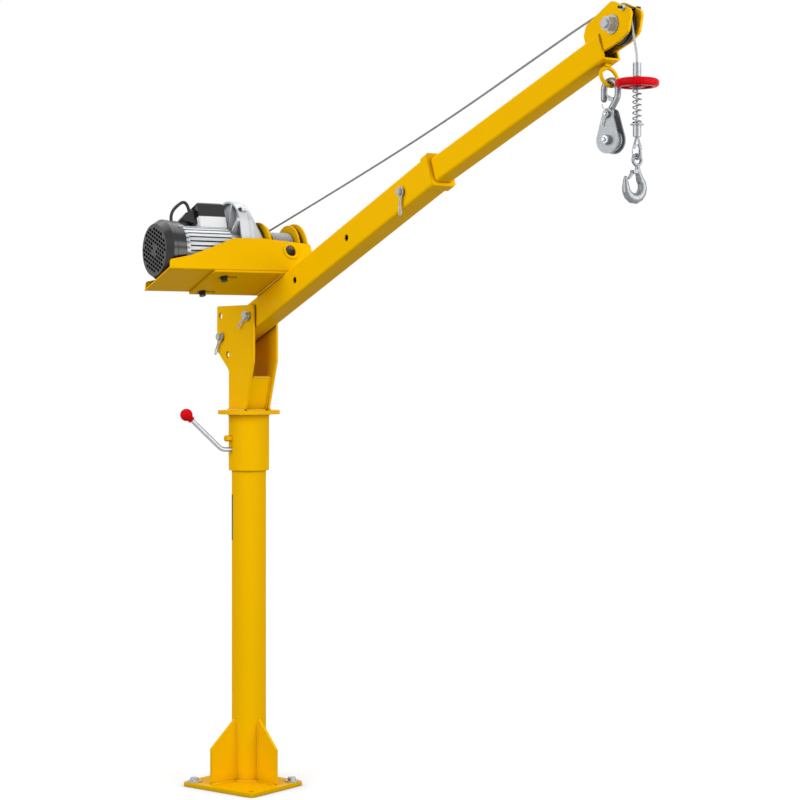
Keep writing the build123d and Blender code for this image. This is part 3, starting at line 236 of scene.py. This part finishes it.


# painted shade in gaps: how far it looks for neighbours, and how open a spot is where it is full and where it ends
coatShadeGaps = ((0.009, 0.06, 0.78), (0.06, 0.04, 0.4))
finishes = {
    # satin yellow coat on all of the steelwork
    "yellow_powder_coat": powderCoat("satinYellowPowderCoat", 0.012, (0.32, 0.42), coatShadeGaps),
    # bright zinc plate: pale, slightly blue, soft gloss
    "zinc_plated_steel": metal("brightZincPlate", "#BEC2C6", "#959AA0", 6, (0.32, 0.46), 0.00005, metallic=0.75),
    # black oxide bolts: dark, faintly oily
    "black_steel": metal("blackOxideSteel", "#2C2C2E", "#151516", 5, (0.32, 0.48), 0.00005, metallic=0.7),
    # sintered bronze: warm and dull
    "bronze": metal("sinteredBronze", "#B58A4C", "#8E6A38", 3, (0.35, 0.5), 0.00008),
    # red phenolic, smooth from the mould, with little shine
    "red_plastic": plastic("glossRedPhenolic", "#D30C16", "#C40912", 6, (0.2, 0.3), 0.02, sheen=0.03),
    # machined steel with fine tool marks
    "gear_steel": metal("machinedSteel", "#A3A5A8", "#7F8286", 2, (0.28, 0.42), 0.00004),
    # black polyamide, glossy over a fine spark texture
    "black_plastic": plastic("blackPolyamide", "#0E0E0F", "#0A0A0B", 1.2, (0.16, 0.26), 0.05, sheen=0.5),
    # light grey ABS box
    "grey_plastic": plastic("lightGreyAbs", "#E6E8E9", "#DEE1E3", 1.5, (0.38, 0.48), 0.1, sheen=0.3),
    # die-cast aluminium, shot blasted: pale with a sandy skin, with painted shade in its corners
    "cast_aluminium": metal("dieCastAluminium", "#CBCED1", "#B0B4B8", 2.2, (0.36, 0.5), 0.0002, metallic=0.4,
                            cornerShade="#2A2B2D"),
    # black rubber sheath of the lead
    "black_rubber": plastic("blackRubberSheath", "#19191A", "#121213", 2, (0.55, 0.68), 0.1),
    # bare drawn wire with a film of grease
    "rope_steel": metal("drawnWireStrand", "#B7B9BA", "#8D8F91", 1.5, (0.3, 0.45), 0.00004, metallic=0.6),
    # pressed aluminium sleeves, with the marks of the press
    "ferrule_aluminium": metal("pressedAluminium", "#9DA0A3", "#7C7F83", 4, (0.28, 0.4), 0.0002, metallic=0.6),
    # forged hooks
    "galvanised_steel": galvanised("forgedGalvanisedSteel", "#85888B", "#797C7F", 0.6),
}
for entry in frame["record"]["subparts"]:
    mesh = cadNodes[entry["node"]].data
    mesh.materials.clear()
    mesh.materials.append(finishes[entry["material_slot"]])
# over weld ripples the coat runs together, thick and glossy
weldCoat = powderCoat("glossYellowPowderCoat", 0.35, (0.16, 0.24), ())
# the taut run of the rope is darker than the winding
tautWire = metal("darkerWireStrand", "#8E9092", "#686A6C", 1.5, (0.34, 0.48), 0.00004, metallic=0.6)
# hard-drawn spring steel under thin zinc: darker than the fittings
springSteel = metal("springSteel", "#7C7F82", "#5C5F62", 3, (0.26, 0.38), 0.00004, metallic=0.7, edge=0.0002)
for latch in ("hook_latch", "block_latch"):
    cadNodes[latch].data.materials[0] = springSteel
# the block's pressed plates are paler and duller than the forged hooks
cadNodes["block_plates"].data.materials[0] = galvanised("pressedGalvanisedSteel", "#888B8E", "#7F8285", 0.4)
# cast iron sheave, made near black: painted shade for the dark gap between the head plates
cadNodes["head_sheave"].data.materials[0] = metal("castIronGapShade", "#3A3A3B", "#242425", 3, (0.4, 0.55), 0.0001,
                                                  metallic=0.6)
print("finishes on,", len(finishes))


# wire rope and other cords
def newCurve(name):
    curve = bpy.data.curves.new(name, "CURVE")
    curve.dimensions = "3D"
    return curve


def showCurve(name, curve):
    piece = bpy.data.objects.new(name, curve)
    bpy.context.scene.collection.objects.link(piece)
    return piece


def thicken(curve, radius, roundness):
    curve.bevel_depth = radius
    curve.bevel_resolution = roundness
    curve.use_fill_caps = True


def toMesh(piece):
    makeActive(piece)
    bpy.ops.object.convert(target="MESH")
    return bpy.context.object


def splineOf(name, points, fineness):
    # a smooth spline with the route's points as its control points, and no thickness yet
    curve = newCurve(name)
    curve.resolution_u = fineness
    spline = curve.splines.new("NURBS")
    spline.points.add(len(points) - 1)
    for spot, point in zip(spline.points, points):
        spot.co = (*point, 1)
    spline.order_u = 3
    spline.use_endpoint_u = True
    return showCurve(name, curve)


def pointsAlong(name, points, fineness, step):
    # places read from the spline, with those left out that lie closer than a step
    piece = splineOf(name, points, fineness)
    mesh = bpy.data.meshes.new_from_object(piece)
    places = [vertex.co.copy() for vertex in mesh.vertices]
    kept = [places[0]]
    for place in places[1:-1]:
        if (place - kept[-1]).length >= step / 1000 and (places[-1] - place).length >= step / 1000:
            kept.append(place)
    kept.append(places[-1])
    bpy.data.objects.remove(piece)
    bpy.data.meshes.remove(mesh)
    return kept


def framesAlong(places):
    # at each place, two directions across the cord that don't twist along it, and the length so far
    ways = [(b - a).normalized() for a, b in zip(places, places[1:])]
    ways.append(ways[-1])
    side = ways[0].orthogonal().normalized()
    length = 0
    frames = []
    for number, place in enumerate(places):
        if number:
            side = ways[number - 1].rotation_difference(ways[number]) @ side
            length += (place - places[number - 1]).length
        frames.append((place, side.copy(), ways[number].cross(side), length))
    return frames


ropePlan = {
    "radius": 2.5, "strands": 6, "lay": 32, "step": 3.6, "fineness": 512, "roundness": 1,
    "drumMiddle": joints["drum_spin"]["pos_m"], "drumRadius": 36.8, "runY": -19, "runLean": 15.48,
    "slack": ((0.27, -8), (0.57, -10), (0.82, 2), (0.955, 8)),
    "sheaveMiddle": joints["head_sheave_spin"]["pos_m"], "sheaveRadius": 38, "wrap": (88, 58, 28), "wrapHalf": 15,
    "hangX": 1550.579, "hang": ((-8, 1722), (0, 1690), (0, 1672), (0, 1620), (0, 1536)),
    # where the rope's pieces part, and where they begin and end to follow the next body
    "leaveBefore": 12, "hangBelow": 1678, "headFrom": 75, "headTo": 20, "dropTo": 1600,
}


def ropeMesh(name, runs):
    # six strands laid round a core, along each run of frames
    plan = ropePlan
    thread = plan["radius"] / 3000
    curve = newCurve(name)
    thicken(curve, thread, plan["roundness"])
    for run in runs:
        for strand in range(plan["strands"] + 1):
            reach = 2 * thread if strand else 0
            spline = curve.splines.new("POLY")
            spline.points.add(len(run) - 1)
            for spot, (place, side, rise, length) in zip(spline.points, run):
                turn = 2 * math.pi * (length * 1000 / plan["lay"] + strand / plan["strands"])
                spot.co = (*(place + (side * math.cos(turn) + rise * math.sin(turn)) * reach), 1)
    piece = toMesh(showCurve(name, curve))
    bpy.ops.object.shade_smooth()
    return piece


def onWheel(middle, radius, angle, y):
    turn = math.radians(angle)
    return Vector((middle[0], y / 1000, middle[2])) + mm(radius * math.cos(turn), 0, radius * math.sin(turn))


def onSheave(radius, angle):
    return onWheel(ropePlan["sheaveMiddle"], radius, angle, 0)


def ropeRoute():
    # off the drum, up to the head sheave, round it in 30 degree corners and down to the load line
    plan = ropePlan
    corner = plan["sheaveRadius"] / math.cos(math.radians(plan["wrapHalf"]))
    drumTop = onWheel(plan["drumMiddle"], plan["drumRadius"], 90 + plan["runLean"], plan["runY"])
    sheaveTop = onSheave(plan["sheaveRadius"], 90 + plan["runLean"])
    # the slack rope sags between the two and stands a little above its line before the sheave
    slack = [drumTop.lerp(sheaveTop, share) + mm(0, 0, rise) for share, rise in plan["slack"]]
    wrap = [onSheave(corner, angle) for angle in plan["wrap"]]
    hang = [mm(plan["hangX"] + aside, 0, height) for aside, height in plan["hang"]]
    return [drumTop, *slack, *wrap, *hang]


rope = framesAlong(pointsAlong("ropeRoute", ropeRoute(), ropePlan["fineness"], ropePlan["step"]))
leaveX = ropePlan["sheaveMiddle"][0] - ropePlan["leaveBefore"] / 1000
hangZ = ropePlan["hangBelow"] / 1000
leave = next(i for i, (place, *rest) in enumerate(rope) if place.x > leaveX)
hang = next(i for i, (place, *rest) in enumerate(rope) if i > leave and place.z < hangZ)

toHead = rope[:leave + 1]
ropeRun = ropeMesh("ropeRun", [toHead])
dress(ropeRun, tautWire)
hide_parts("rope_run")
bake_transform(ropeRun)

overHead = rope[leave:hang + 1]
ropeOverHead = ropeMesh("ropeOverHead", [overHead])
dress(ropeOverHead, finishes["rope_steel"])
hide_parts("rope_over_sheave", "rope_lead")
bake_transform(ropeOverHead)

loopPlan = {"top": 1531.9, "above": 3, "leg": 2.75, "wide": 12.1, "neck": 4, "cheek": 23, "drop": 43.6,
            "fineness": 64}


def loopRoute():
    # the eye below the low sleeve, round the thimble
    plan = loopPlan
    half = [(plan["leg"], -plan["above"]), (plan["leg"], plan["neck"]),
            (plan["wide"], plan["cheek"]), (plan["wide"], plan["drop"])]
    sides = [(-across, down) for across, down in half] + half[::-1]
    return [mm(ropePlan["hangX"] + across, 0, plan["top"] - down) for across, down in sides]


loop = framesAlong(pointsAlong("loopRoute", loopRoute(), loopPlan["fineness"], ropePlan["step"] / 2))
ropeDrop = ropeMesh("ropeDrop", [rope[hang:], loop])
dress(ropeDrop, finishes["rope_steel"])
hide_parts("rope_drop")
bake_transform(ropeDrop)

windingPlan = {"turns": 10, "right": 40, "corners": 15, "fineness": 12}


def windingRoute():
    # back from where the rope leaves the drum, turn by turn to the right-hand flange
    plan = windingPlan
    step = 360 / plan["corners"]
    corner = ropePlan["drumRadius"] / math.cos(math.radians(step / 2))
    count = plan["turns"] * plan["corners"]
    places = []
    for number in range(count + 1):
        y = ropePlan["runY"] + (plan["right"] - ropePlan["runY"]) * number / count
        places.append(onWheel(ropePlan["drumMiddle"], corner, 90 + ropePlan["runLean"] + step * number, y))
    return places


winding = framesAlong(pointsAlong("windingRoute", windingRoute(), windingPlan["fineness"], ropePlan["step"]))
ropeWinding = ropeMesh("ropeWinding", [winding])
dress(ropeWinding, finishes["rope_steel"], "drum")
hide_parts("rope_winding")

leadPlan = {"radius": 4, "fineness": 16, "roundness": 4, "readStep": 0.1,
            "route": ((117.5, -221.5, 224.4), (117.5, -221.5, 264), (117.5, -262, 238),
                      (117.5, -277, 213), (117.5, -277, 197.2))}
leadRoute = [onBoom(*spot) for spot in leadPlan["route"]]
motorLead = splineOf("motorLead", leadRoute, leadPlan["fineness"])
thicken(motorLead.data, leadPlan["radius"] / 1000, leadPlan["roundness"])
dress(motorLead, finishes["black_rubber"], "outer_boom")
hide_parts("motor_lead")
leadPoints = pointsAlong("leadRoute", leadRoute, leadPlan["fineness"], leadPlan["readStep"])
framesAlong(leadPoints)[-1][3]

springPlan = {"top": 1628.873, "bottom": 1556.873, "radius": 8.2, "wire": 1.2, "turns": 8, "corners": 16,
              "closedPitch": 2.2, "fineness": 6, "roundness": 2}


def limitSpring():
    # open coil of spring wire, with closed ends
    plan = springPlan
    perTurn = plan["corners"]
    count = plan["turns"] * perTurn
    corner = plan["radius"] / math.cos(math.pi / perTurn)
    low = plan["bottom"] + plan["wire"]
    high = plan["top"] - plan["wire"]
    closed = plan["closedPitch"] * plan["wire"]
    route = []
    for number in range(count + 1):
        turn = 2 * math.pi * number / perTurn
        share = min(max((number - perTurn) / (count - 2 * perTurn), 0), 1)
        end = (min(number, perTurn) - perTurn + max(number - count + perTurn, 0)) / perTurn
        height = low + closed + (high - low - 2 * closed) * share + closed * end
        route.append(mm(ropePlan["hangX"] + corner * math.cos(turn), corner * math.sin(turn), height))
    spring = splineOf("limitSpring", route, plan["fineness"])
    thicken(spring.data, plan["wire"] / 1000, plan["roundness"])
    spring = toMesh(spring)
    dress(spring, springSteel, "load_line")
    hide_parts("limit_spring")
    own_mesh(spring)


limitSpring()
print("rope, lead and spring laid,", round(rope[-1][3], 3), "m of rope off the drum")

# welds; a bead's step is a share of its size, and its ripples swell and shrink along it
beadPlan = {"step": 0.55, "ripple": (1, 0.72), "drift": 0.12, "driftTurn": 1.7, "fineness": 24, "roundness": 2}


def weldBead(name, route, size, body):
    # a hand-laid bead: a run of overlapping ripples in the joint, under the powder coat
    plan = beadPlan
    places = pointsAlong(name + "Route", route, plan["fineness"], plan["step"] * size)
    curve = newCurve(name)
    thicken(curve, size / 1000, plan["roundness"])
    spline = curve.splines.new("POLY")
    spline.points.add(len(places) - 1)
    for number, (spot, place) in enumerate(zip(spline.points, places)):
        spot.co = (*place, 1)
        spot.radius = plan["ripple"][number % 2] * (1 + plan["drift"] * math.sin(plan["driftTurn"] * number))
    bead = toMesh(showCurve(name, curve))
    bpy.ops.object.shade_smooth()
    dress(bead, weldCoat, body)


weldPlan = {
    "ringCorners": 24, "post": 44.5, "plate": 10, "postSize": 3, "sleeve": 52.5, "sleeveTop": 954, "sleeveSize": 3.4,
    "gussets": (6.5, -83), "gussetHalf": 4, "gussetGap": 3, "gussetAlong": (80, 118), "gussetUp": (14, 90, 168),
    "gussetSizes": (2.4, 2.2),
    "flangeTop": 964, "cheekOut": 36.65, "cheekIn": 30.65, "cheekFoot": (-39, 42), "cheekSizes": (6.2, 3),
    "webFoot": 35, "webTop": (64, 1050), "webGap": 8, "webShares": (0.04, 0.5, 1), "webSize": 2.8,
    "webFootRun": (-28, 0, 28), "webFootSize": 5.4, "webTopRun": (-24, 0, 22), "webTopSize": 2.6,
    "boomSide": 27.5, "boomTop": 36, "mountRun": (48, 117, 186), "mountSize": 3.2,
    "collar": 846, "collarRound": 6, "collarSize": 2.6,
}


def ringRoute(radius, z):
    # round the post's axis and one corner past the start, so that the ring closes
    corners = weldPlan["ringCorners"]
    turns = [2 * math.pi * number / corners for number in range(corners + 2)]
    reach = radius / math.cos(math.pi / corners)
    return [mm(reach * math.cos(turn), reach * math.sin(turn), z) for turn in turns]


def sideName(name, side):
    return name + ("Left" if side < 0 else "Right")


def layWelds():
    plan = weldPlan
    weldBead("weldPostFoot", ringRoute(plan["post"], plan["plate"]), plan["postSize"], "post")
    weldBead("weldSleeveFlange", ringRoute(plan["sleeve"], plan["sleeveTop"]), plan["sleeveSize"], "swivel_frame")
    lowSize, upSize = plan["gussetSizes"]
    for number, angle in enumerate(plan["gussets"]):
        turn = Matrix.Rotation(math.radians(angle), 3, "Z")
        for side in (-1, 1):
            y = side * plan["gussetHalf"]
            root = math.sqrt(plan["post"] ** 2 - y * y)
            name = sideName("weldGusset" + str(number), side)
            along = (root + plan["gussetGap"], *plan["gussetAlong"])
            weldBead(name + "Low", [turn @ mm(x, y, plan["plate"]) for x in along], lowSize, "post")
            weldBead(name + "Up", [turn @ mm(root, y, z) for z in plan["gussetUp"]], upSize, "post")
    footX, footZ = plan["webFoot"], plan["flangeTop"]
    topX, topZ = plan["webTop"]
    back, front = plan["cheekFoot"]
    outSize, inSize = plan["cheekSizes"]
    for side in (-1, 1):
        name = sideName("weldCheek", side)
        outY, inY, boomY = (side * plan[key] for key in ("cheekOut", "cheekIn", "boomSide"))
        outRun = [mm(x, outY, footZ) for x in (back, 0, front)]
        inRun = [mm(x, inY, footZ) for x in (back, 0, footX - plan["webGap"])]
        webRun = [mm(footX + share * (topX - footX), inY, footZ + share * (topZ - footZ))
                  for share in plan["webShares"]]
        weldBead(name + "Out", outRun, outSize, "swivel_frame")
        weldBead(name + "In", inRun, inSize, "swivel_frame")
        weldBead(name + "Web", webRun, plan["webSize"], "swivel_frame")
        weldBead(sideName("weldMount", side), [onBoom(s, boomY, plan["boomTop"]) for s in plan["mountRun"]],
                 plan["mountSize"], "outer_boom")
    weldBead("weldWebFoot", [mm(footX, y, footZ) for y in plan["webFootRun"]], plan["webFootSize"], "swivel_frame")
    weldBead("weldWebTop", [mm(topX, y, topZ) for y in plan["webTopRun"]], plan["webTopSize"], "swivel_frame")
    w, h, r = plan["boomSide"], plan["boomTop"], plan["collarRound"]
    corners = ((w, 0), (w, h - r), (w - r, h), (r - w, h), (-w, h - r),
               (-w, r - h), (r - w, -h), (w - r, -h), (w, r - h), (w, 0))
    weldBead("weldCollar", [onBoom(plan["collar"], y, v) for y, v in corners], plan["collarSize"], "outer_boom")


layWelds()
print("welds laid")

# screws and other small fasteners; faces that meet at less than this angle are shaded as one
edgePlan = {"segments": 2, "smoothBelow": 40}


def selectFaces(piece, test):
    bpy.ops.object.mode_set(mode="EDIT")
    bpy.ops.mesh.select_mode(type="FACE")
    bpy.ops.mesh.select_all(action="DESELECT")
    bpy.ops.object.mode_set(mode="OBJECT")
    for face in piece.data.polygons:
        face.select = test(face)
    bpy.ops.object.mode_set(mode="EDIT")


def facesUp(face):
    # the flat end of an upright blank, whose other faces point sideways or down
    return face.normal.z > 0.9


def roundEdges(piece, width):
    bpy.ops.object.mode_set(mode="OBJECT")
    makeActive(piece)
    edge = piece.modifiers.new("edge", "BEVEL")
    edge.width = width / 1000
    edge.segments = edgePlan["segments"]
    bpy.ops.object.modifier_apply(modifier=edge.name)
    bpy.ops.object.shade_smooth_by_angle(angle=math.radians(edgePlan["smoothBelow"]))


def uprightCylinder(name, corners, radius, height, foot=0):
    # a blank that stands on the origin or above it, to be shaped further
    deselectAll()
    bpy.ops.mesh.primitive_cylinder_add(vertices=corners, radius=radius / 1000, depth=height / 1000,
                                        location=(0, 0, 0))
    blank = bpy.context.object
    blank.name = name
    blank.data.transform(Matrix.Translation(mm(0, 0, foot + height / 2)))
    return blank


# shares of the head's radius, and the depth as a share of its height
socketPlan = {"corners": 24, "wall": 0.42, "depth": 0.6, "edge": 0.06}


def capScrew(name, radius, height):
    # socket head: a short cylinder with a round recess
    plan = socketPlan
    screw = uprightCylinder(name, plan["corners"], radius, height)
    selectFaces(screw, facesUp)
    bpy.ops.mesh.inset(thickness=plan["wall"] * radius / 1000)
    bpy.ops.mesh.extrude_region_move(TRANSFORM_OT_translate={"value": mm(0, 0, -plan["depth"] * height)})
    roundEdges(screw, plan["edge"] * radius)
    return screw


def placeCopies(model, places, material, body):
    # each copy is turned from upright to its own direction and keeps its place in its mesh
    for number, (place, way) in enumerate(places):
        copy = model.copy()
        copy.data = model.data.copy()
        copy.name = model.name + str(number + 1)
        copy.data.transform(Matrix.Translation(place) @ Vector(way).to_track_quat("Z", "Y").to_matrix().to_4x4())
        bpy.context.scene.collection.objects.link(copy)
        dress(copy, material, body)
    bpy.data.objects.remove(model)


screwPlan = {
    "motorS": 117.5, "motorV": 121,
    "rimRadius": 5, "rimHeight": 5, "rimY": -112, "rimSpots": ((187, 68, (20, 160)), (125, 61, (-35, -145))),
    "coverRadius": 3.4, "coverHeight": 2.2, "coverY": -292, "coverSkirt": 73.4, "coverAngles": (30, 120, 210, 300),
}


def layScrews():
    plan = screwPlan
    toFan = boomTurn.to_3x3() @ Vector((0, -1, 0))
    rim = []
    for v, reach, angles in plan["rimSpots"]:
        for angle in angles:
            turn = math.radians(angle)
            rim.append((onBoom(plan["motorS"] + reach * math.cos(turn), plan["rimY"], v + reach * math.sin(turn)),
                        toFan))
    placeCopies(capScrew("gearboxScrew", plan["rimRadius"], plan["rimHeight"]), rim,
                finishes["black_steel"], "outer_boom")
    cover = []
    for angle in plan["coverAngles"]:
        turn = math.radians(angle)
        out = boomTurn.to_3x3() @ Vector((math.cos(turn), 0, math.sin(turn)))
        cover.append((onBoom(plan["motorS"] + plan["coverSkirt"] * math.cos(turn), plan["coverY"],
                             plan["motorV"] + plan["coverSkirt"] * math.sin(turn)), out))
    placeCopies(capScrew("fanCoverScrew", plan["coverRadius"], plan["coverHeight"]), cover,
                finishes["zinc_plated_steel"], "outer_boom")


layScrews()
print("hoist screws in")

labelPlan = {"radius": 44.5, "thick": 0.35, "low": 628, "high": 746, "from": 176, "to": 261, "corners": 180,
             "edge": 0.1}


def postLabel():
    # bare vinyl label wrapped part of the way round the post
    plan = labelPlan

    def pastLabel(face):
        angle = math.degrees(math.atan2(face.center.y, face.center.x)) % 360
        return not plan["from"] < angle < plan["to"]

    deselectAll()
    bpy.ops.mesh.primitive_cylinder_add(vertices=plan["corners"], radius=plan["radius"] / 1000,
                                        depth=(plan["high"] - plan["low"]) / 1000,
                                        end_fill_type="NOTHING", location=(0, 0, 0))
    label = bpy.context.object
    label.name = "postLabel"
    label.data.transform(Matrix.Translation(mm(0, 0, (plan["high"] + plan["low"]) / 2)))
    selectFaces(label, pastLabel)
    bpy.ops.mesh.delete(type="FACE")
    bpy.ops.object.mode_set(mode="OBJECT")
    skin = label.modifiers.new("skin", "SOLIDIFY")
    skin.thickness = plan["thick"] / 1000
    skin.offset = 1
    bpy.ops.object.modifier_apply(modifier=skin.name)
    roundEdges(label, plan["edge"])
    # plain vinyl film: smooth and dark
    vinyl = plastic("blackVinylFilm", "#17181A", "#121314", 0.8, (0.3, 0.4), 0.03, sheen=0.2, edge=0.0001)
    dress(label, vinyl, "post")


postLabel()

# the block's fasteners on the near side: a nut on the axle and a split pin in the top pin
blockPlan = {
    "turn": 14, "side": -15.75, "axle": -108, "top": -57,
    "nutCorners": 6, "nutFlats": 17, "nutHeight": 8, "tipRadius": 4.6, "tipHeight": 4,
    "stubCorners": 24, "stubRadius": 4, "stubHeight": 5.5, "stubTipRadius": 3.2, "stubTipHeight": 0.6,
    "pinWire": 1.2, "pinFineness": 8, "pinRoundness": 2,
    "pinRoute": ((-9, -18.6, -37), (-5, -18.2, -50), (3, -18.4, -51), (7, -18.6, -57), (2, -18.6, -63.5),
                 (-5, -18.4, -63), (-9, -18.2, -70), (-10.5, -17.6, -80)),
}
blockTurn = (Matrix.Translation(joints["block_swing"]["pos_m"])
             @ Matrix.Rotation(math.radians(blockPlan["turn"]), 4, "Z"))
# shares of the stud's and the tip's radius
studPlan = {"edge": 0.08, "tipCorners": 24, "tipInset": 0.3, "tipRise": 0.25, "tipEdge": 0.06}


def steppedStud(name, corners, radius, height, tipRadius, tipHeight):
    # a nut or pin end, with a smaller round tip on its face
    plan = studPlan
    stud = uprightCylinder(name, corners, radius, height)
    roundEdges(stud, plan["edge"] * radius)
    tip = uprightCylinder(name + "Tip", plan["tipCorners"], tipRadius, tipHeight, foot=height)
    selectFaces(tip, facesUp)
    bpy.ops.mesh.inset(thickness=plan["tipInset"] * tipRadius / 1000)
    bpy.ops.transform.translate(value=mm(0, 0, plan["tipRise"] * tipRadius))
    roundEdges(tip, plan["tipEdge"] * tipRadius)
    stud.select_set(True)
    bpy.context.view_layer.objects.active = stud
    bpy.ops.object.join()
    return stud


def blockFasteners():
    plan = blockPlan
    zinc = finishes["zinc_plated_steel"]
    out = blockTurn.to_3x3() @ Vector((0, -1, 0))
    nut = steppedStud("blockAxleNut", plan["nutCorners"], plan["nutFlats"] / math.sqrt(3), plan["nutHeight"],
                      plan["tipRadius"], plan["tipHeight"])
    placeCopies(nut, [(blockTurn @ mm(0, plan["side"], plan["axle"]), out)], zinc, "block")
    stub = steppedStud("blockPinEnd", plan["stubCorners"], plan["stubRadius"], plan["stubHeight"],
                       plan["stubTipRadius"], plan["stubTipHeight"])
    placeCopies(stub, [(blockTurn @ mm(0, plan["side"], plan["top"]), out)], zinc, "block")
    splitPin = splineOf("blockSplitPin", [blockTurn @ mm(*spot) for spot in plan["pinRoute"]], plan["pinFineness"])
    thicken(splitPin.data, plan["pinWire"] / 1000, plan["pinRoundness"])
    splitPin = toMesh(splitPin)
    bpy.ops.object.shade_smooth()
    dress(splitPin, zinc, "block")


blockFasteners()
print("label and block fasteners on")

# floor, light and background; a softbox has its metres left of the aim, towards the camera and above the floor,
# its size and its watts
stagePlan = {
    "floorSize": 30, "floorDrop": 0.0004, "floorCuts": 4, "floorColour": "#848484", "floorRough": 0.9,
    "floorSheen": 0.1, "fibre": 3, "fibreStrength": 0.02, "fibreHeight": 0.0002,
    "nearGlow": 0.76, "farGlow": 0.95, "glowReach": 4, "shadeReach": 0.12, "skyLight": 0.4, "aim": (0.6, 0, 1.1),
    "key": (2.7, 2.2, 2.0, 3.2, 99), "fill": (-2.9, 1.9, 1.7, 3.2, 108), "top": (0.2, -0.9, 4.2, 3.2, 62),
}


def seenRays(tree):
    # rays that show the white background: straight to the camera, or by way of metal or glass
    rays = addNode(tree, "ShaderNodeLightPath")
    mirrored = addNode(tree, "ShaderNodeMath", {"operation": "MAXIMUM"},
                       links={0: rays.outputs["Is Glossy Ray"], 1: rays.outputs["Is Transmission Ray"]})
    seen = addNode(tree, "ShaderNodeMath", {"operation": "MAXIMUM"},
                   links={0: rays.outputs["Is Camera Ray"], 1: mirrored.outputs["Value"]})
    return seen.outputs["Value"]


def studioFloor():
    plan = stagePlan
    deselectAll()
    bpy.ops.mesh.primitive_plane_add(size=plan["floorSize"], location=(0, 0, -plan["floorDrop"]))
    floor = bpy.context.object
    floor.name = "studioFloor"
    bpy.ops.object.mode_set(mode="EDIT")
    bpy.ops.mesh.subdivide(number_cuts=plan["floorCuts"])
    bpy.ops.object.mode_set(mode="OBJECT")
    # white paper sweep, lit enough to read as white while it keeps the shadow
    material, tree, shader, place = startMaterial("whitePaperSweep")
    fibre = addNode(tree, "ShaderNodeTexNoise", values={"Scale": perMetre(plan["fibre"]), "Detail": 2},
                    links={"Vector": place})
    bump = addNode(tree, "ShaderNodeBump",
                   values={"Strength": plan["fibreStrength"], "Distance": plan["fibreHeight"]},
                   links={"Height": fibre.outputs["Fac"]})
    tree.links.new(bump.outputs["Normal"], shader.inputs["Normal"])
    shader.inputs["Base Color"].default_value = linearColour(plan["floorColour"])
    shader.inputs["Roughness"].default_value = plan["floorRough"]
    shader.inputs["Specular IOR Level"].default_value = plan["floorSheen"]
    shader.inputs["Emission Color"].default_value = (1, 1, 1, 1)
    # the floor glows more with its distance from the crane, to read as a lit backdrop
    spread = [1 / plan["glowReach"]] * 3
    scaled = addNode(tree, "ShaderNodeMapping", values={"Scale": spread}, links={"Vector": place})
    nearness = addNode(tree, "ShaderNodeTexGradient", {"gradient_type": "SPHERICAL"},
                       links={"Vector": scaled.outputs["Vector"]})
    glow = addNode(tree, "ShaderNodeMapRange", values={"To Min": plan["farGlow"], "To Max": plan["nearGlow"]},
                   links={"Value": nearness.outputs["Fac"]})
    # and less close under the crane, so that the contact shadow shows
    openness = addNode(tree, "ShaderNodeAmbientOcclusion", {"samples": 8}, {"Distance": plan["shadeReach"]})
    shaded = addNode(tree, "ShaderNodeMath", {"operation": "MULTIPLY"},
                     links={0: openness.outputs["AO"], 1: glow.outputs["Result"]})
    shown = addNode(tree, "ShaderNodeMath", {"operation": "MULTIPLY"},
                    links={0: seenRays(tree), 1: shaded.outputs["Value"]})
    tree.links.new(shown.outputs["Value"], shader.inputs["Emission Strength"])
    floor.data.materials.append(material)


def studioWorld():
    world = bpy.data.worlds.new("whiteStudio")
    world.use_nodes = True
    bpy.context.scene.world = world
    tree = world.node_tree
    tree.nodes.clear()
    white = addNode(tree, "ShaderNodeBackground", values={"Color": (1, 1, 1, 1), "Strength": 1})
    sky = addNode(tree, "ShaderNodeBackground", values={"Color": (1, 1, 1, 1), "Strength": stagePlan["skyLight"]})
    mix = addNode(tree, "ShaderNodeMixShader", links={0: seenRays(tree), 1: sky.outputs["Background"],
                                                      2: white.outputs["Background"]})
    addNode(tree, "ShaderNodeOutputWorld", links={"Surface": mix.outputs["Shader"]})


def softbox(name, left, back, height, size, power):
    # a square soft light, placed from the camera's side and aimed at the crane's middle
    aim = Vector(stagePlan["aim"])
    place = aim + cameraLeft * left + cameraBack * back
    place.z = height
    deselectAll()
    bpy.ops.object.light_add(type="AREA", location=place)
    lamp = bpy.context.object
    lamp.name = name
    lamp.rotation_euler = (place - aim).to_track_quat("Z", "Y").to_euler()
    lamp.data.size = size
    lamp.data.energy = power


studioFloor()
studioWorld()
for name in ("key", "fill", "top"):
    softbox(name + "Softbox", *stagePlan[name])
print("studio set")
